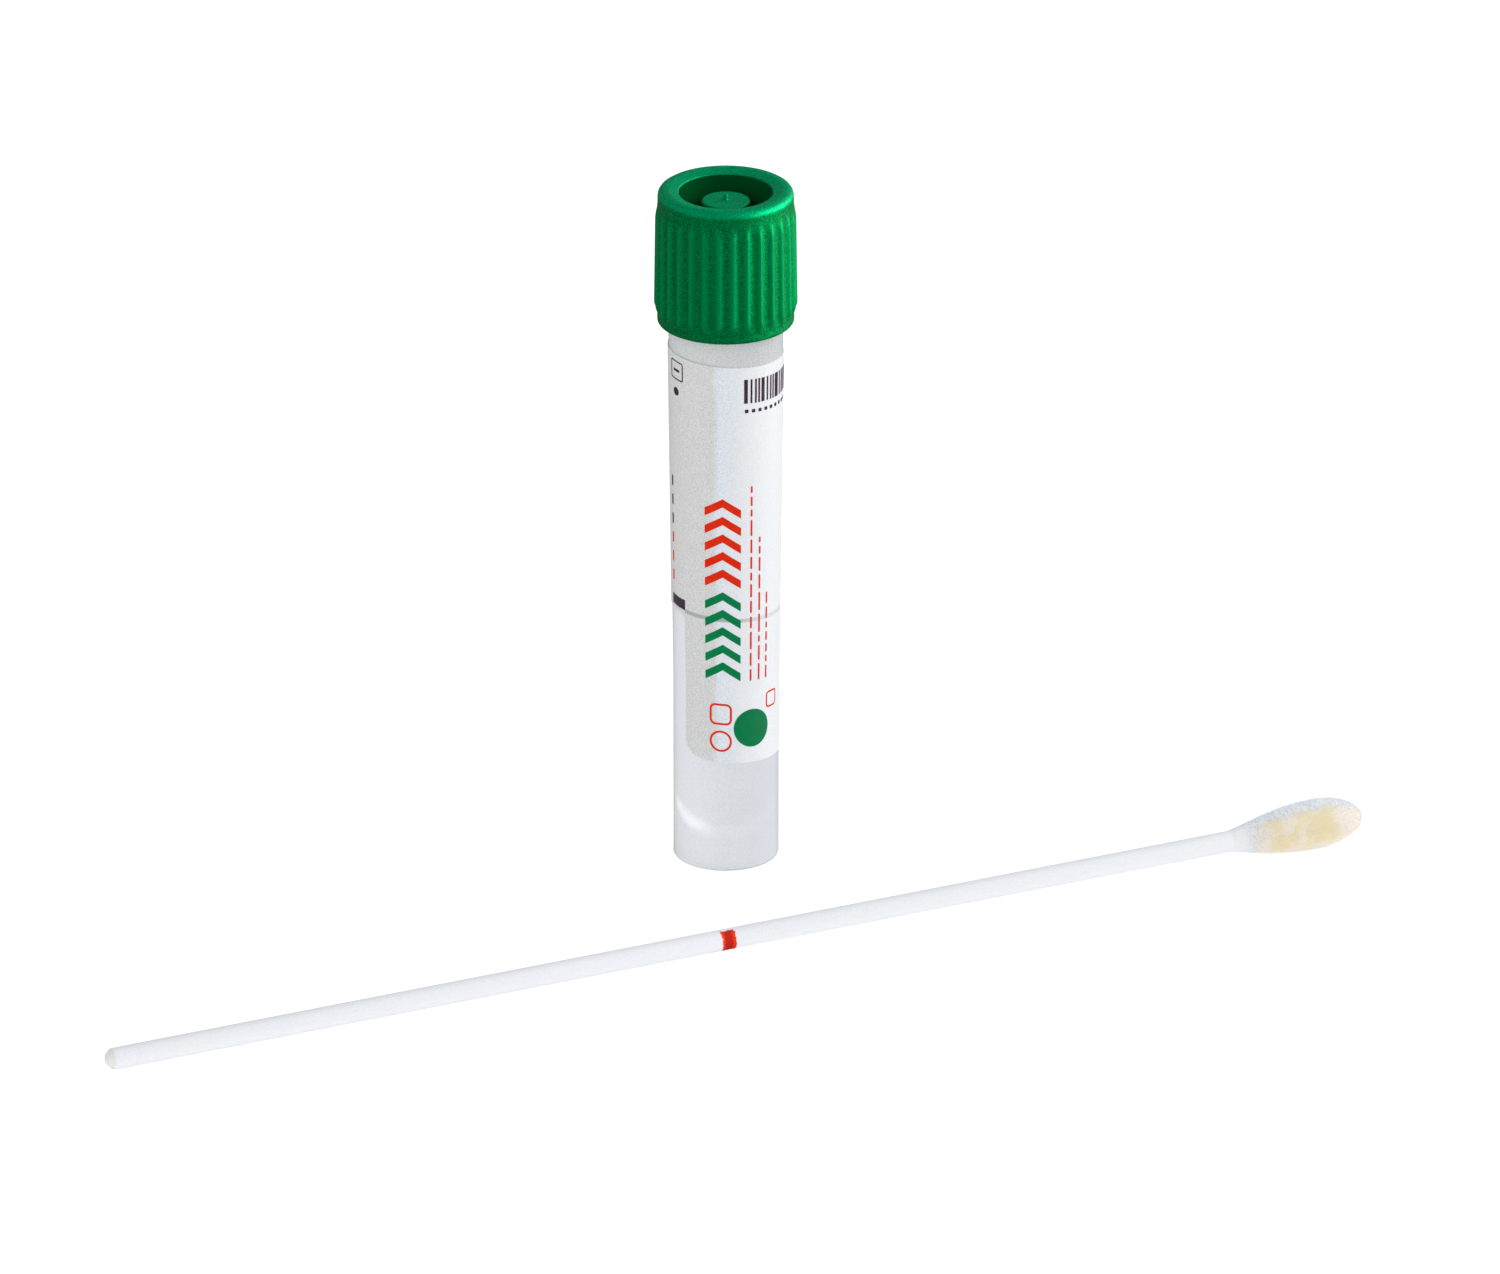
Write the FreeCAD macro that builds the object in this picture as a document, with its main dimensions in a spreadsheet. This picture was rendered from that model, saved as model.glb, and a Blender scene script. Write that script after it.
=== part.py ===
import FreeCAD, Part
import math
import os
import Sketcher
from FreeCAD import Placement, Rotation, Vector

# A self-standing screw-cap sample tube with its label, its liquid and the flocked swab of the same set.
# Millimetres. The origin is the centre of the tube's foot, +Z runs up the tube, -Y is the front of the
# label and the foot stands on the plane z = 0. The swab lies on that plane beside the tube.
# Every size is written once, in the sheet below. A piece that fits on another takes its sizes from it.

SIZES = (
    # tube: one moulding, straight at the foot and drafted above
    ("mouth_radius", 5.08, "inside radius at the rim"),
    ("bore_draft", 0.18, "how much the inside narrows from the rim down to the cone"),
    ("base_wall", 1.07, "wall of the straight lower part, at the top of the cone"),
    ("neck_wall", 0.82, "wall of the neck at the rim, between its threads"),
    ("shoulder_step", 0.6, "how far the drafted part stands out from the neck at its top"),
    ("tube_height", 77.9, "height of the tube's rim"),
    ("straight_height", 22.0, "height at which the outside starts to widen"),
    ("neck_length", 11.9, "length of the neck, from the shoulder to the rim"),
    ("cone_top", 6.8, "height at which the inside starts to narrow to a cone"),
    ("cone_tip_height", 2.2, "height of the small flat at the bottom of the cone"),
    ("cone_tip_radius", 0.8, "radius of that flat"),
    ("cone_floor", 1.4, "thickness of the cone's wall, measured along the axis"),
    ("skirt_wall", 1.0, "wall of the round skirt that the tube stands on"),
    ("foot_round", 0.25, "rounding of the skirt's outer edge"),
    ("rim_round", 0.2, "rounding of the rim's two edges"),
    ("gate_radius", 0.5, "moulding gate under the cone: radius"),
    ("gate_drop", 0.35, "moulding gate under the cone: how far it stands down"),
    # screw thread, right-handed
    ("thread_pitch", 3.0, "rise of the thread in one turn"),
    ("thread_drop", 8.95, "how far below the rim the middle of the tube's ridge starts"),
    ("thread_rise", 6.5, "how far the tube's ridge climbs"),
    ("thread_depth", 0.5, "how far the tube's ridge stands out of the neck"),
    ("thread_root", 1.1, "width of a ridge at its root"),
    ("thread_crest", 0.6, "width of a ridge at its crest"),
    ("thread_sink", 0.15, "how far a ridge's root lies inside its wall"),
    ("thread_play", 0.1, "play along the axis between the two ridges' flanks"),
    ("thread_clearance", 0.15, "gap between the cap's ridge and the neck"),
    ("cap_thread_rise", 6.0, "how far the cap's ridge climbs"),
    # label: white film round the tube, skewed a little, with a window cut out at its lower left corner
    ("label_bottom", 13.4, "height of the lower edge at the front"),
    ("label_band", 4.2, "bare band between the upper edge, at the front, and the neck"),
    ("label_thickness", 0.09, "thickness of the film"),
    ("label_glue", 0.01, "glue line between tube and film"),
    ("label_skew", 4.0, "tilt of the edges, in degrees: the right side hangs lower"),
    ("seam_angle", 110.0, "where the label starts, in degrees to the left of the front"),
    ("seam_width", 5.0, "bare strip between the label's two ends, in degrees"),
    ("window_angle", 62.0, "width of the window that starts at the seam, in degrees"),
    ("window_top", 30.9, "height of the window's upper edge"),
    ("window_corner", 1.0, "rounding in the window's upper corner"),
    ("label_corner", 1.9, "rounding of the label's corner below the window"),
    # liquid
    ("fill_height", 30.9, "height of the liquid's surface"),
    ("liquid_gap", 0.02, "gap that keeps the liquid's solid apart from the tube's"),
    # seal ring: flat washer between the rim and the cap's roof
    ("seal_thickness", 0.6, "thickness of the ring"),
    ("seal_width", 1.1, "width of the ring across its flat"),
    ("seal_gap", 0.05, "gap between the ring and the cap's plug"),
    # cap
    ("cap_height", 15.9, "height of the cap"),
    ("cap_roof", 2.4, "thickness from the roof inside to the top face"),
    ("cap_wall", 1.02, "wall of the skirt at its foot, between the ribs"),
    ("cap_draft", 0.06, "how much the outside narrows from the foot to the top"),
    ("cap_shoulder_round", 1.3, "rounding of the top outer edge"),
    ("cap_foot_round", 0.3, "rounding of the lower outer edge"),
    ("cap_clearance", 0.3, "least gap between the tube's ridge and the cap's inner wall"),
    ("shoulder_clearance", 0.2, "least gap between the tube's shoulder and the cap's inner wall"),
    ("rib_count", 30, "number of grip ribs"),
    ("rib_foot", 1.45, "plain band below the ribs"),
    ("rib_head", 2.3, "plain band above the ribs, with the rounded edge"),
    ("rib_low_height", 0.38, "how far a rib stands out at its lower end"),
    ("rib_high_height", 0.24, "how far a rib stands out at its upper end"),
    ("rib_round", 0.43, "radius of a rib's own round section"),
    ("plug_clearance", 0.05, "gap between the cap's plug and the tube's mouth"),
    ("plug_depth", 5.0, "how far the plug reaches below the rim"),
    ("plug_chamfer", 0.4, "chamfer at the plug's lower edge"),
    ("plug_wall", 0.88, "wall between the plug's outside and the well"),
    ("plug_floor", 1.1, "floor between the plug's foot and the well"),
    ("well_draft", 0.1, "how much the well narrows below its flared mouth"),
    ("well_flare", 1.2, "how far the well's mouth flares out in the cap's top"),
    ("well_flare_depth", 2.6, "depth of the flared mouth"),
    ("well_round", 0.45, "rounding of the well's mouth"),
    ("post_radius", 2.77, "radius of the centre post at its top"),
    ("post_draft", 0.18, "how much wider the post is at the well's floor"),
    ("post_drop", 0.95, "how far the post's top lies below the cap's top face"),
    ("post_cover", 1.05, "thickness of the post's top over its socket"),
    ("post_round", 0.3, "rounding of the post's top edge"),
    ("cap_gate_radius", 0.4, "gate mark on the post: radius"),
    ("cap_gate_height", 0.3, "gate mark on the post: height"),
    ("socket_play", 0.11, "socket in the post, from below: how much wider than the stick at its mouth"),
    ("socket_grip", 0.06, "how much narrower than the stick the socket is at its end"),
    ("socket_lead", 0.6, "funnel at the socket's mouth"),
    # swab
    ("swab_length", 154.8, "length over all"),
    ("shaft_radius", 1.21, "radius of the stick"),
    ("shaft_round", 0.15, "rounding of the stick's blunt end"),
    ("break_distance", 79.3, "from the swab's tip to the break score"),
    ("score_depth", 0.1, "depth of the break score"),
    ("score_width", 0.5, "width of the break score"),
    ("tip_length", 16.6, "length of the fibre coat"),
    ("tip_radius", 2.73, "largest radius of the fibre coat"),
    ("tip_nose", 5.9, "from the tip's end back to its thickest place"),
    ("coat_edge", 0.06, "thickness of the fibre coat where it starts"),
    ("core_cover", 1.3, "fibre beyond the end of the stick"),
    ("swab_left", 68.3, "how far to the left of the tube's axis the stick's blunt end lies"),
    ("swab_front", 61.3, "how far in front of the tube's axis it lies"),
    ("swab_angle", 24.75, "direction in which the swab points, in degrees from +X towards +Y"),
)

# Places worked out from the sizes above.
BORE_RADIUS = "(sizes.mouth_radius - sizes.bore_draft)"
BASE_RADIUS = f"({BORE_RADIUS} + sizes.base_wall)"
NECK_RADIUS = "(sizes.mouth_radius + sizes.neck_wall)"
SHOULDER_RADIUS = f"({NECK_RADIUS} + sizes.shoulder_step)"
SHOULDER = "(sizes.tube_height - sizes.neck_length)"
LABEL_TOP = f"({SHOULDER} - sizes.label_band)"
SKIRT_BORE = f"({BASE_RADIUS} - sizes.skirt_wall)"
CONE_UNDERSIDE = "(sizes.cone_tip_height - sizes.cone_floor)"
CONE_SLOPE = ("((sizes.cone_top - sizes.cone_tip_height)"
              f" / ({BORE_RADIUS} - sizes.cone_tip_radius))")
THREAD_RADIUS = f"({NECK_RADIUS} + sizes.thread_depth)"
THREAD_START = "(sizes.tube_height - sizes.thread_drop)"
CAP_ROOF = "(sizes.tube_height + sizes.seal_thickness)"
CAP_TOP = f"({CAP_ROOF} + sizes.cap_roof)"
CAP_FOOT = f"({CAP_TOP} - sizes.cap_height)"
CAP_BORE = (f"max({THREAD_RADIUS} + sizes.cap_clearance;"
            f" {SHOULDER_RADIUS} + sizes.shoulder_clearance)")
CAP_RADIUS = f"({CAP_BORE} + sizes.cap_wall)"
CAP_TOP_RADIUS = f"({CAP_RADIUS} - sizes.cap_draft)"
CAP_THREAD_START = (f"({THREAD_START} - (sizes.thread_root + sizes.thread_crest) / 2"
                    " - sizes.thread_play)")
PLUG_RADIUS = "(sizes.mouth_radius - sizes.plug_clearance)"
PLUG_FOOT = "(sizes.tube_height - sizes.plug_depth)"
WELL_NECK_RADIUS = f"({PLUG_RADIUS} - sizes.plug_wall)"
WELL_RADIUS = f"({WELL_NECK_RADIUS} + sizes.well_flare)"
WELL_FLOOR = f"({PLUG_FOOT} + sizes.plug_floor)"
POST_TOP = f"({CAP_TOP} - sizes.post_drop)"
SOCKET_END = f"({POST_TOP} - sizes.post_cover)"
SOCKET_RADIUS = "(sizes.shaft_radius + sizes.socket_play)"
RIB_LOW_CENTRE = f"({CAP_RADIUS} + sizes.rib_low_height - sizes.rib_round)"
RIB_HIGH_CENTRE = f"({CAP_TOP_RADIUS} + sizes.rib_high_height - sizes.rib_round)"
RIB_LOW = f"({CAP_FOOT} + sizes.rib_foot + sizes.rib_round)"
RIB_HIGH = f"({CAP_TOP} - sizes.rib_head - sizes.rib_round)"
SEAL_BORE = f"({PLUG_RADIUS} + sizes.seal_gap)"
FILL_RADIUS = (f"({BORE_RADIUS} + sizes.bore_draft"
               " * (sizes.fill_height - sizes.cone_top) / (sizes.tube_height - sizes.cone_top))")
CORE_END = "(sizes.swab_length - sizes.core_cover)"
COAT_START = "(sizes.swab_length - sizes.tip_length)"
COAT_RADIUS = "(sizes.shaft_radius + sizes.coat_edge)"
TIP_FAT = "(sizes.swab_length - sizes.tip_nose)"
BREAK = "(sizes.swab_length - sizes.break_distance)"

doc = FreeCAD.newDocument("specimen_swab_tube")
sizes = doc.addObject("Spreadsheet::Sheet", "sizes")
for row, (alias, value, meaning) in enumerate(SIZES, start=1):
    sizes.set(f"A{row}", alias)
    sizes.set(f"B{row}", str(value))
    sizes.setAlias(f"B{row}", alias)
    sizes.set(f"C{row}", meaning)
doc.recompute()


def number(expression):
    """The present value of an expression in the sheet's sizes."""
    return float(sizes.evalExpression(expression))


def new_body(name):
    body = doc.addObject("PartDesign::Body", name)
    body.Label = name
    return body


def new_sketch(body, name, plane="XZ_Plane"):
    """A sketch on one of the body's own origin planes."""
    sketch = body.newObject("Sketcher::SketchObject", name)
    support = next(f for f in body.Origin.OriginFeatures if f.Role == plane)
    sketch.AttachmentSupport = (support, [""])
    sketch.MapMode = "FlatFace"
    return sketch


def bind(sketch, constraint, expression):
    """Adds a dimension to the sketch and ties it to the sheet."""
    index = sketch.addConstraint(constraint)
    sketch.setExpression(f"Constraints[{index}]", expression)


def pin(sketch, line, end, across, up):
    """Fixes one end of a line at a place given by two expressions."""
    for axis, kind, place in ((-2, "DistanceX", across), (-1, "DistanceY", up)):
        if place == "0":
            sketch.addConstraint(Sketcher.Constraint("PointOnObject", line, end, axis))
        else:
            size = number(place)
            bind(sketch, Sketcher.Constraint(kind, -1, 1, line, end, size), place)


def add_polygon(sketch, corners):
    """A closed outline of straight lines, each corner an (across, up) pair of expressions."""
    first = sketch.GeometryCount
    count = len(corners)
    points = [Vector(number(across), number(up), 0) for across, up in corners]
    for i, start in enumerate(points):
        sketch.addGeometry(Part.LineSegment(start, points[(i + 1) % count]), False)
    for i in range(count):
        after = first + (i + 1) % count
        sketch.addConstraint(Sketcher.Constraint("Coincident", first + i, 2, after, 1))
    for i, (across, up) in enumerate(corners):
        pin(sketch, first + i, 1, across, up)


def revolve(body, name, sketch, axis="V_Axis", angle=360.0):
    turned = body.newObject("PartDesign::Revolution", name)
    turned.Profile = sketch
    turned.ReferenceAxis = (sketch, [axis])
    turned.Angle = angle
    return turned


def round_edges(body, name, base, rings, radius):
    """Rounds the circular edges whose radius and height are the given pairs of expressions."""
    doc.recompute()
    wanted = [(number(r), number(z)) for r, z in rings]
    found = []
    for i, edge in enumerate(base.Shape.Edges, start=1):
        if not isinstance(edge.Curve, Part.Circle):
            continue
        ring = (edge.Curve.Radius, edge.Curve.Center.z)
        if any(math.dist(ring, target) < 1e-4 for target in wanted):
            found.append(f"Edge{i}")
    if len(found) < len(rings):
        raise RuntimeError(f"{name}: an edge to round was not found")
    fillet = body.newObject("PartDesign::Fillet", name)
    fillet.Base = (base, found)
    fillet.setExpression("Radius", radius)
    return fillet


def add_thread(body, name, root, crest, start, rise):
    """A right-handed ridge of tapered section, from one radius to another, wound round the axis."""
    section = new_sketch(body, name + "_section")
    half_root, half_crest = "sizes.thread_root / 2", "sizes.thread_crest / 2"
    add_polygon(section, [
        (root, f"{start} - {half_root}"),
        (crest, f"{start} - {half_crest}"),
        (crest, f"{start} + {half_crest}"),
        (root, f"{start} + {half_root}"),
    ])
    doc.recompute()
    ridge = body.newObject("PartDesign::AdditiveHelix", name)
    ridge.Profile = section
    ridge.ReferenceAxis = (section, ["V_Axis"])
    ridge.Mode = 0
    ridge.Angle = 0
    ridge.Growth = 0
    ridge.setExpression("Pitch", "sizes.thread_pitch")
    ridge.setExpression("Height", rise)
    return ridge


def make_tube():
    """Tube with a conical bottom inside, a hollow skirt round the cone and a threaded neck."""
    body = new_body("tube")
    profile = new_sketch(body, "tube_profile")
    gate = f"{CONE_UNDERSIDE} - sizes.gate_drop"
    add_polygon(profile, [
        (SKIRT_BORE, "0"),
        (BASE_RADIUS, "0"),
        (BASE_RADIUS, "sizes.straight_height"),
        (SHOULDER_RADIUS, f"{SHOULDER} - sizes.shoulder_step"),
        (NECK_RADIUS, SHOULDER),
        (NECK_RADIUS, "sizes.tube_height"),
        ("sizes.mouth_radius", "sizes.tube_height"),
        (BORE_RADIUS, "sizes.cone_top"),
        ("sizes.cone_tip_radius", "sizes.cone_tip_height"),
        ("0", "sizes.cone_tip_height"),
        ("0", gate),
        ("sizes.gate_radius", gate),
        ("sizes.gate_radius", CONE_UNDERSIDE),
        ("sizes.cone_tip_radius", CONE_UNDERSIDE),
        (SKIRT_BORE, f"{CONE_UNDERSIDE} + ({SKIRT_BORE} - sizes.cone_tip_radius) * {CONE_SLOPE}"),
    ])
    wall = revolve(body, "tube_wall", profile)
    foot = round_edges(body, "tube_foot", wall, [(BASE_RADIUS, "0")], "sizes.foot_round")
    rim_edges = [(NECK_RADIUS, "sizes.tube_height"), ("sizes.mouth_radius", "sizes.tube_height")]
    round_edges(body, "tube_rim", foot, rim_edges, "sizes.rim_round")
    add_thread(body, "tube_thread", f"{NECK_RADIUS} - sizes.thread_sink", THREAD_RADIUS,
               THREAD_START, "sizes.thread_rise")
    return body


def make_medium():
    """The liquid: it fills the cone and the bore up to the fill height."""
    body = new_body("transport_medium")
    profile = new_sketch(body, "medium_profile")
    floor = "sizes.cone_tip_height + sizes.liquid_gap"
    add_polygon(profile, [
        ("0", floor),
        ("sizes.cone_tip_radius", floor),
        (f"{BORE_RADIUS} - sizes.liquid_gap", "sizes.cone_top + sizes.liquid_gap"),
        (f"{FILL_RADIUS} - sizes.liquid_gap", "sizes.fill_height"),
        ("0", "sizes.fill_height"),
    ])
    revolve(body, "medium_volume", profile)
    return body


def add_window_outline(sketch, left, low, side, foot):
    """The window's outline, with a round upper corner and a flare round the label's own corner."""
    corner, top = "sizes.label_corner", "sizes.window_top"
    flare = f"({side} + {corner})"
    places = [
        (left, low),
        (flare, low),
        (flare, foot),
        (side, f"{foot} + {corner}"),
        (side, f"{top} - sizes.window_corner"),
        (f"{side} - sizes.window_corner", top),
        (left, top),
    ]
    points = [Vector(number(across), number(up), 0) for across, up in places]
    r_low, r_high = number(corner), number("sizes.window_corner")
    quarter = math.pi / 2
    low_round = Part.Circle(points[2] + Vector(0, r_low, 0), Vector(0, 0, 1), r_low)
    high_round = Part.Circle(points[5] - Vector(0, r_high, 0), Vector(0, 0, 1), r_high)
    sketch.addGeometry([
        Part.LineSegment(points[0], points[1]),
        Part.LineSegment(points[1], points[2]),
        Part.ArcOfCircle(low_round, 2 * quarter, 3 * quarter),
        Part.LineSegment(points[3], points[4]),
        Part.ArcOfCircle(high_round, 0, quarter),
        Part.LineSegment(points[5], points[6]),
        Part.LineSegment(points[6], points[0]),
    ], False)
    # Line, its end, next line, its start. Both arcs run anticlockwise, so line 1 meets arc 2 at its end.
    joins = ((0, 2, 1, 1), (1, 2, 2, 2), (2, 1, 3, 1), (3, 2, 4, 1), (4, 2, 5, 1), (5, 2, 6, 1),
             (6, 2, 0, 1))
    for line, end, following, start in joins:
        sketch.addConstraint(Sketcher.Constraint("Coincident", line, end, following, start))
    for line, place in ((0, 0), (1, 1), (3, 3), (5, 5), (6, 6)):
        pin(sketch, line, 1, *places[place])
    pin(sketch, 1, 2, *places[2])
    pin(sketch, 3, 2, *places[4])
    bind(sketch, Sketcher.Constraint("Radius", 2, r_low), corner)
    bind(sketch, Sketcher.Constraint("Radius", 4, r_high), "sizes.window_corner")


def make_label():
    """Film round the tube: a thin shell on its outside, with skewed edges and a window at one corner."""
    body = new_body("label")
    spare = 5.0  # shell beyond the trimmed edges
    low, high = f"(sizes.label_bottom - {spare})", f"({LABEL_TOP} + {spare})"
    taper_start = "sizes.straight_height"
    taper = (f"(({SHOULDER_RADIUS} - {BASE_RADIUS})"
             f" / ({SHOULDER} - sizes.shoulder_step - sizes.straight_height))")
    top_radius = f"({BASE_RADIUS} + ({high} - sizes.straight_height) * {taper})"
    inside, outside = "sizes.label_glue", "(sizes.label_glue + sizes.label_thickness)"

    profile = new_sketch(body, "label_profile")
    profile.AttachmentOffset = Placement(Vector(), Rotation(Vector(0, 1, 0), 1))
    profile.setExpression("AttachmentOffset.Rotation.Angle", "270 - sizes.seam_angle")
    add_polygon(profile, [
        (f"{BASE_RADIUS} + {inside}", low),
        (f"{BASE_RADIUS} + {outside}", low),
        (f"{BASE_RADIUS} + {outside}", taper_start),
        (f"{top_radius} + {outside}", high),
        (f"{top_radius} + {inside}", high),
        (f"{BASE_RADIUS} + {inside}", taper_start),
    ])
    shell = revolve(body, "label_shell", profile)
    shell.setExpression("Angle", "360 - sizes.seam_width")

    outer, inner = f"(2 * {SHOULDER_RADIUS})", f"(1.5 * {SHOULDER_RADIUS})"
    drop = f"({inner} * tan(sizes.label_skew))"
    trim = new_sketch(body, "label_edges")
    add_polygon(trim, [
        (f"-{outer}", f"{low} - {spare}"),
        (outer, f"{low} - {spare}"),
        (outer, f"{high} + {spare}"),
        (f"-{outer}", f"{high} + {spare}"),
    ])
    add_polygon(trim, [
        (f"-{inner}", f"sizes.label_bottom + {drop}"),
        (inner, f"sizes.label_bottom - {drop}"),
        (inner, f"{LABEL_TOP} - {drop}"),
        (f"-{inner}", f"{LABEL_TOP} + {drop}"),
    ])
    edges = body.newObject("PartDesign::Pocket", "label_trim")
    edges.Profile = trim
    edges.Type = 1
    edges.Midplane = True
    doc.recompute()

    # The window is cut straight in, square to its own middle.
    radius = f"({BASE_RADIUS} + {outside})"
    half = f"({radius} * sin(sizes.window_angle / 2))"
    left = f"(-{radius} * sin((sizes.window_angle + sizes.seam_width) / 2))"
    foot = (f"(sizes.label_bottom - {radius} * sin(sizes.window_angle - sizes.seam_angle)"
            " * tan(sizes.label_skew))")
    window = new_sketch(body, "label_window")
    window.AttachmentOffset = Placement(Vector(), Rotation(Vector(0, 1, 0), 1))
    window.setExpression("AttachmentOffset.Rotation.Angle", "sizes.window_angle / 2 - sizes.seam_angle")
    add_window_outline(window, left, low, half, foot)
    cut = body.newObject("PartDesign::Pocket", "label_window_cut")
    cut.Profile = window
    cut.Type = 1
    cut.Reversed = True
    return body


def make_seal_ring():
    """Flat washer on the tube's rim, round the cap's plug."""
    disc = doc.addObject("Part::Cylinder", "seal_disc")
    disc.setExpression("Radius", f"{SEAL_BORE} + sizes.seal_width")
    hole = doc.addObject("Part::Cylinder", "seal_hole")
    hole.setExpression("Radius", SEAL_BORE)
    for cylinder in (disc, hole):
        cylinder.setExpression("Height", "sizes.seal_thickness")
        cylinder.setExpression("Placement.Base.z", "sizes.tube_height")
    ring = doc.addObject("Part::Cut", "seal_ring")
    ring.Label = "seal_ring"
    ring.Base, ring.Tool = disc, hole
    return ring


def add_rib(body):
    """One grip rib: a round-ended bar that leans in a little as the cap narrows upwards."""
    section = new_sketch(body, "rib_section")
    low = Vector(number(RIB_LOW_CENTRE), number(RIB_LOW), 0)
    high = Vector(number(RIB_HIGH_CENTRE), number(RIB_HIGH), 0)
    radius = number("sizes.rib_round")
    along = (high - low).normalize()
    outward = Vector(along.y, -along.x, 0)
    lean = math.atan2(outward.y, outward.x)
    foot, head = low - along * radius, high + along * radius
    quarter = math.pi / 2
    ends = [Part.Circle(centre, Vector(0, 0, 1), radius) for centre in (low, high)]
    sketch_parts = [
        Part.LineSegment(head, foot),
        Part.ArcOfCircle(ends[0], lean - quarter, lean),
        Part.LineSegment(low + outward * radius, high + outward * radius),
        Part.ArcOfCircle(ends[1], lean, lean + quarter),
    ]
    section.addGeometry(sketch_parts, False)
    section.addGeometry(Part.LineSegment(head, foot), True)
    section.addConstraint([
        Sketcher.Constraint("Coincident", 0, 2, 1, 1),
        Sketcher.Constraint("Coincident", 3, 2, 0, 1),
        Sketcher.Constraint("Coincident", 4, 1, 0, 1),
        Sketcher.Constraint("Coincident", 4, 2, 0, 2),
        Sketcher.Constraint("Tangent", 1, 2, 2, 1),
        Sketcher.Constraint("Tangent", 2, 2, 3, 1),
        Sketcher.Constraint("PointOnObject", 1, 3, 0),
        Sketcher.Constraint("PointOnObject", 3, 3, 0),
        Sketcher.Constraint("Equal", 1, 3),
    ])
    bind(section, Sketcher.Constraint("Radius", 1, radius), "sizes.rib_round")
    pin(section, 1, 3, RIB_LOW_CENTRE, RIB_LOW)
    pin(section, 3, 3, RIB_HIGH_CENTRE, RIB_HIGH)
    return revolve(body, "rib", section, "Axis0")


def make_cap():
    """Screw cap in one moulding: ribbed skirt, roof, plug round a well, and a hollow centre post."""
    body = new_body("cap")
    profile = new_sketch(body, "cap_profile")
    gate_top = f"{POST_TOP} + sizes.cap_gate_height"
    add_polygon(profile, [
        (CAP_BORE, CAP_FOOT),
        (CAP_RADIUS, CAP_FOOT),
        (CAP_TOP_RADIUS, CAP_TOP),
        (WELL_RADIUS, CAP_TOP),
        (WELL_NECK_RADIUS, f"{CAP_TOP} - sizes.well_flare_depth"),
        (f"{WELL_NECK_RADIUS} - sizes.well_draft", WELL_FLOOR),
        ("sizes.post_radius + sizes.post_draft", WELL_FLOOR),
        ("sizes.post_radius", POST_TOP),
        ("sizes.cap_gate_radius", POST_TOP),
        ("sizes.cap_gate_radius", gate_top),
        ("0", gate_top),
        ("0", SOCKET_END),
        ("sizes.shaft_radius - sizes.socket_grip", SOCKET_END),
        (SOCKET_RADIUS, f"{PLUG_FOOT} + sizes.socket_lead"),
        (f"{SOCKET_RADIUS} + sizes.socket_lead", PLUG_FOOT),
        (f"{PLUG_RADIUS} - sizes.plug_chamfer", PLUG_FOOT),
        (PLUG_RADIUS, f"{PLUG_FOOT} + sizes.plug_chamfer"),
        (PLUG_RADIUS, CAP_ROOF),
        (CAP_BORE, CAP_ROOF),
    ])
    shell = revolve(body, "cap_shell", profile)
    rounds = (
        ("cap_shoulder", CAP_TOP_RADIUS, CAP_TOP, "sizes.cap_shoulder_round"),
        ("cap_well_edge", WELL_RADIUS, CAP_TOP, "sizes.well_round"),
        ("cap_post_edge", "sizes.post_radius", POST_TOP, "sizes.post_round"),
        ("cap_foot_edge", CAP_RADIUS, CAP_FOOT, "sizes.cap_foot_round"),
    )
    for name, ring_radius, height, rounding in rounds:
        shell = round_edges(body, name, shell, [(ring_radius, height)], rounding)
    rib = add_rib(body)
    doc.recompute()
    ribs = body.newObject("PartDesign::PolarPattern", "ribs")
    ribs.Originals = [rib]
    ribs.Axis = (next(f for f in body.Origin.OriginFeatures if f.Role == "Z_Axis"), [""])
    ribs.Angle = 360.0
    ribs.setExpression("Occurrences", "sizes.rib_count")
    body.Tip = ribs
    doc.recompute()
    add_thread(body, "cap_thread", f"{CAP_BORE} + sizes.thread_sink",
               f"{NECK_RADIUS} + sizes.thread_clearance", CAP_THREAD_START, "sizes.cap_thread_rise")
    return body


def lay_down(body):
    """Lays a swab piece on the ground, on the stick's blunt end and the thickest place of the tip."""
    lean = "atan((sizes.tip_radius - sizes.shaft_radius) / (sizes.swab_length - sizes.tip_nose))"
    place = f"create(<<vector>>; -sizes.swab_left; -sizes.swab_front; sizes.shaft_radius * cos({lean}))"
    turn = f"create(<<rotation>>; sizes.swab_angle; -{lean}; 0)"
    body.setExpression("Placement", f"create(<<placement>>; {place}; {turn})")


def make_shaft():
    """The swab's stick along its own +X, with a shallow score where it is meant to snap."""
    body = new_body("swab_shaft")
    profile = new_sketch(body, "shaft_profile")
    add_polygon(profile, [
        ("0", "0"),
        (CORE_END, "0"),
        (CORE_END, "sizes.shaft_radius"),
        (f"{BREAK} + sizes.score_width / 2", "sizes.shaft_radius"),
        (BREAK, "sizes.shaft_radius - sizes.score_depth"),
        (f"{BREAK} - sizes.score_width / 2", "sizes.shaft_radius"),
        ("0", "sizes.shaft_radius"),
    ])
    stick = revolve(body, "shaft_stick", profile, "H_Axis")
    doc.recompute()
    blunt = next(f"Edge{i}" for i, edge in enumerate(stick.Shape.Edges, start=1)
                 if isinstance(edge.Curve, Part.Circle) and abs(edge.Curve.Center.x) < 1e-6)
    end = body.newObject("PartDesign::Fillet", "shaft_end")
    end.Base = (stick, [blunt])
    end.setExpression("Radius", "sizes.shaft_round")
    lay_down(body)
    return body


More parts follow.
